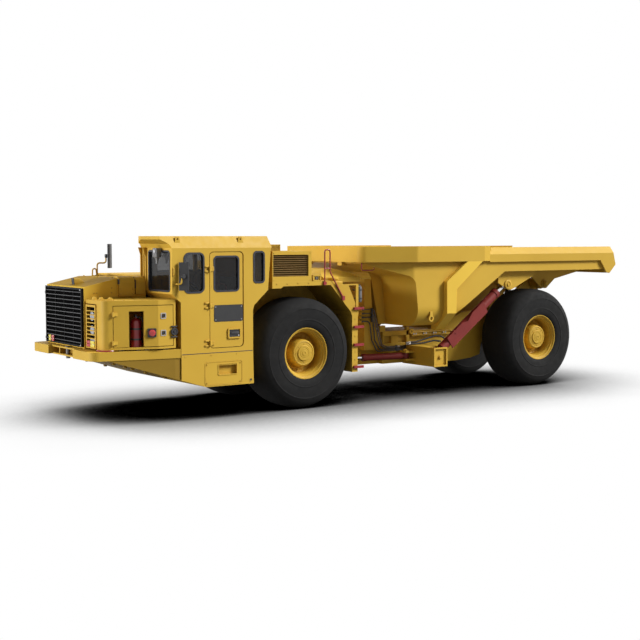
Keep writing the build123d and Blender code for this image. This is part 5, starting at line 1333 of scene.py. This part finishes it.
# a crowned cushion: the CAD block remeshed, then blown up by cloth within the block's space
def makeCushion(node, name):
    copy = copyTo(nodes[node], Matrix.Identity(4))
    copy.hide_render = copy.hide_viewport = False
    takeUp(copy)
    pickAll()
    bpy.ops.mesh.remove_doubles(threshold=0.0001)
    bpy.ops.mesh.normals_make_consistent(inside=False)
    bpy.ops.object.mode_set(mode="OBJECT")
    low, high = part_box(node)
    middle, span = (low + high) / 2, high - low
    for point in copy.data.vertices:  # start smaller, because the pad swells
        point.co = middle + Vector([(point.co[i] - middle[i]) * (1 - 2 * insideDetail["seatShrink"] / span[i])
                                    for i in range(3)])
    copy.data.remesh_voxel_size = insideDetail["voxel"]
    bpy.ops.object.voxel_remesh()
    start = [point.co.copy() for point in copy.data.vertices]
    cloth = copy.modifiers.new("cloth", "CLOTH")
    cloth.settings.use_pressure = True
    cloth.settings.uniform_pressure_force = insideDetail["pressure"]
    cloth.settings.effector_weights.gravity = 0
    for step in range(1, insideDetail["frames"] + 1):
        bpy.context.scene.frame_set(step)
    bpy.ops.object.modifier_apply(modifier="cloth")
    bpy.context.scene.frame_set(1)
    reach, clearance = insideDetail["reach"], insideDetail["clearance"]
    for point, before in zip(copy.data.vertices, start):  # no point moves further than the cap
        moved = point.co - before
        if moved.length > reach:
            point.co = before + moved * (reach / moved.length)
        for i in range(3):
            point.co[i] = min(max(point.co[i], low[i] + clearance), high[i] - clearance)
    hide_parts(node)
    finishPiece(copy, name, "front_frame", "seatFabric", 60)


makeInside()
makeCushion("seat_cushion", "seatCushionPad")
makeCushion("seat_back", "seatBackPad")
print("cab inside fitted")

# floor, world and lamps
studio = {
    "floorSize": 120, "floorShade": (0.2, 0.2, 0.2), "skyStrength": 0.2,
    "contactReach": 3.2, "contactRange": (0.34, 0.9), "contactCurve": 1.5, "contactRays": 16,
    "sunDistance": 20,
    "suns": {
        "keySun": {"from": (-0.75, 0.6, 0.7), "strength": 3.9, "spread": 20},
        "frontSun": {"from": (0.8, -0.3, 0.12), "strength": 2.9, "spread": 30},
    },
}


def seenByEye(tree):  # camera, mirror and glass rays
    rays = putNode(tree, "LightPath")
    first = putNode(tree, "Math", operation="MAXIMUM")
    tree.links.new(rays.outputs["Is Camera Ray"], first.inputs[0])
    tree.links.new(rays.outputs["Is Glossy Ray"], first.inputs[1])
    both = putNode(tree, "Math", operation="MAXIMUM")
    tree.links.new(first.outputs[0], both.inputs[0])
    tree.links.new(rays.outputs["Is Transmission Ray"], both.inputs[1])
    return both.outputs[0]


# one shader lights the truck and another is what the eye's rays see
def splitRays(tree, lit, seen, output):
    mix = putNode(tree, "MixShader")
    tree.links.new(seenByEye(tree), mix.inputs[0])
    tree.links.new(lit, mix.inputs[1])
    tree.links.new(seen, mix.inputs[2])
    tree.links.new(mix.outputs[0], tree.nodes[output].inputs["Surface"])


def makeFloor():
    clearSelection()
    bpy.ops.mesh.primitive_plane_add(size=studio["floorSize"], location=(0, 0, 0))
    floor = bpy.context.object
    floor.name = "floor"
    paper = bpy.data.materials.new("floorPaper")
    paper.use_nodes = True
    tree = paper.node_tree
    tree.nodes.remove(tree.nodes["Principled BSDF"])
    dull = putNode(tree, "BsdfDiffuse", {"Color": (*studio["floorShade"], 1)})
    # white paper with a painted soft contact shadow under the truck, from ambient occlusion
    contact = putNode(tree, "AmbientOcclusion", {"Distance": studio["contactReach"]},
                      samples=studio["contactRays"])
    soft = stretchRange(tree, contact.outputs["AO"], *studio["contactRange"], 0, 1)
    curve = putNode(tree, "Math", {1: studio["contactCurve"]}, operation="POWER")
    tree.links.new(soft, curve.inputs[0])
    white = putNode(tree, "Emission", {"Strength": 1.0})
    tree.links.new(mixColours(tree, curve.outputs[0], (0, 0, 0), (1, 1, 1)), white.inputs["Color"])
    splitRays(tree, dull.outputs[0], white.outputs[0], "Material Output")
    floor.data.materials.append(paper)


def makeWorld():
    world = bpy.data.worlds.new("studioWorld")
    bpy.context.scene.world = world
    world.use_nodes = True
    tree = world.node_tree
    sky = tree.nodes["Background"]
    sky.inputs["Color"].default_value = (1, 1, 1, 1)
    sky.inputs["Strength"].default_value = studio["skyStrength"]
    white = putNode(tree, "Background", {"Color": (1, 1, 1, 1), "Strength": 1.0})
    splitRays(tree, sky.outputs[0], white.outputs[0], "World Output")


def makeSun(name, spec):
    sunData = bpy.data.lights.new(name, "SUN")
    sunData.energy = spec["strength"]
    sunData.angle = math.radians(spec["spread"])
    sun = bpy.data.objects.new(name, sunData)
    bpy.context.scene.collection.objects.link(sun)
    sun.location = Vector(spec["from"]) * studio["sunDistance"]
    sun.rotation_mode = "QUATERNION"
    sun.rotation_quaternion = (-Vector(spec["from"])).to_track_quat("-Z", "Y")


bpy.context.scene.view_settings.view_transform = "Standard"
makeFloor()
makeWorld()
for sunName, sunSpec in studio["suns"].items():
    makeSun(sunName, sunSpec)
print("studio lit")
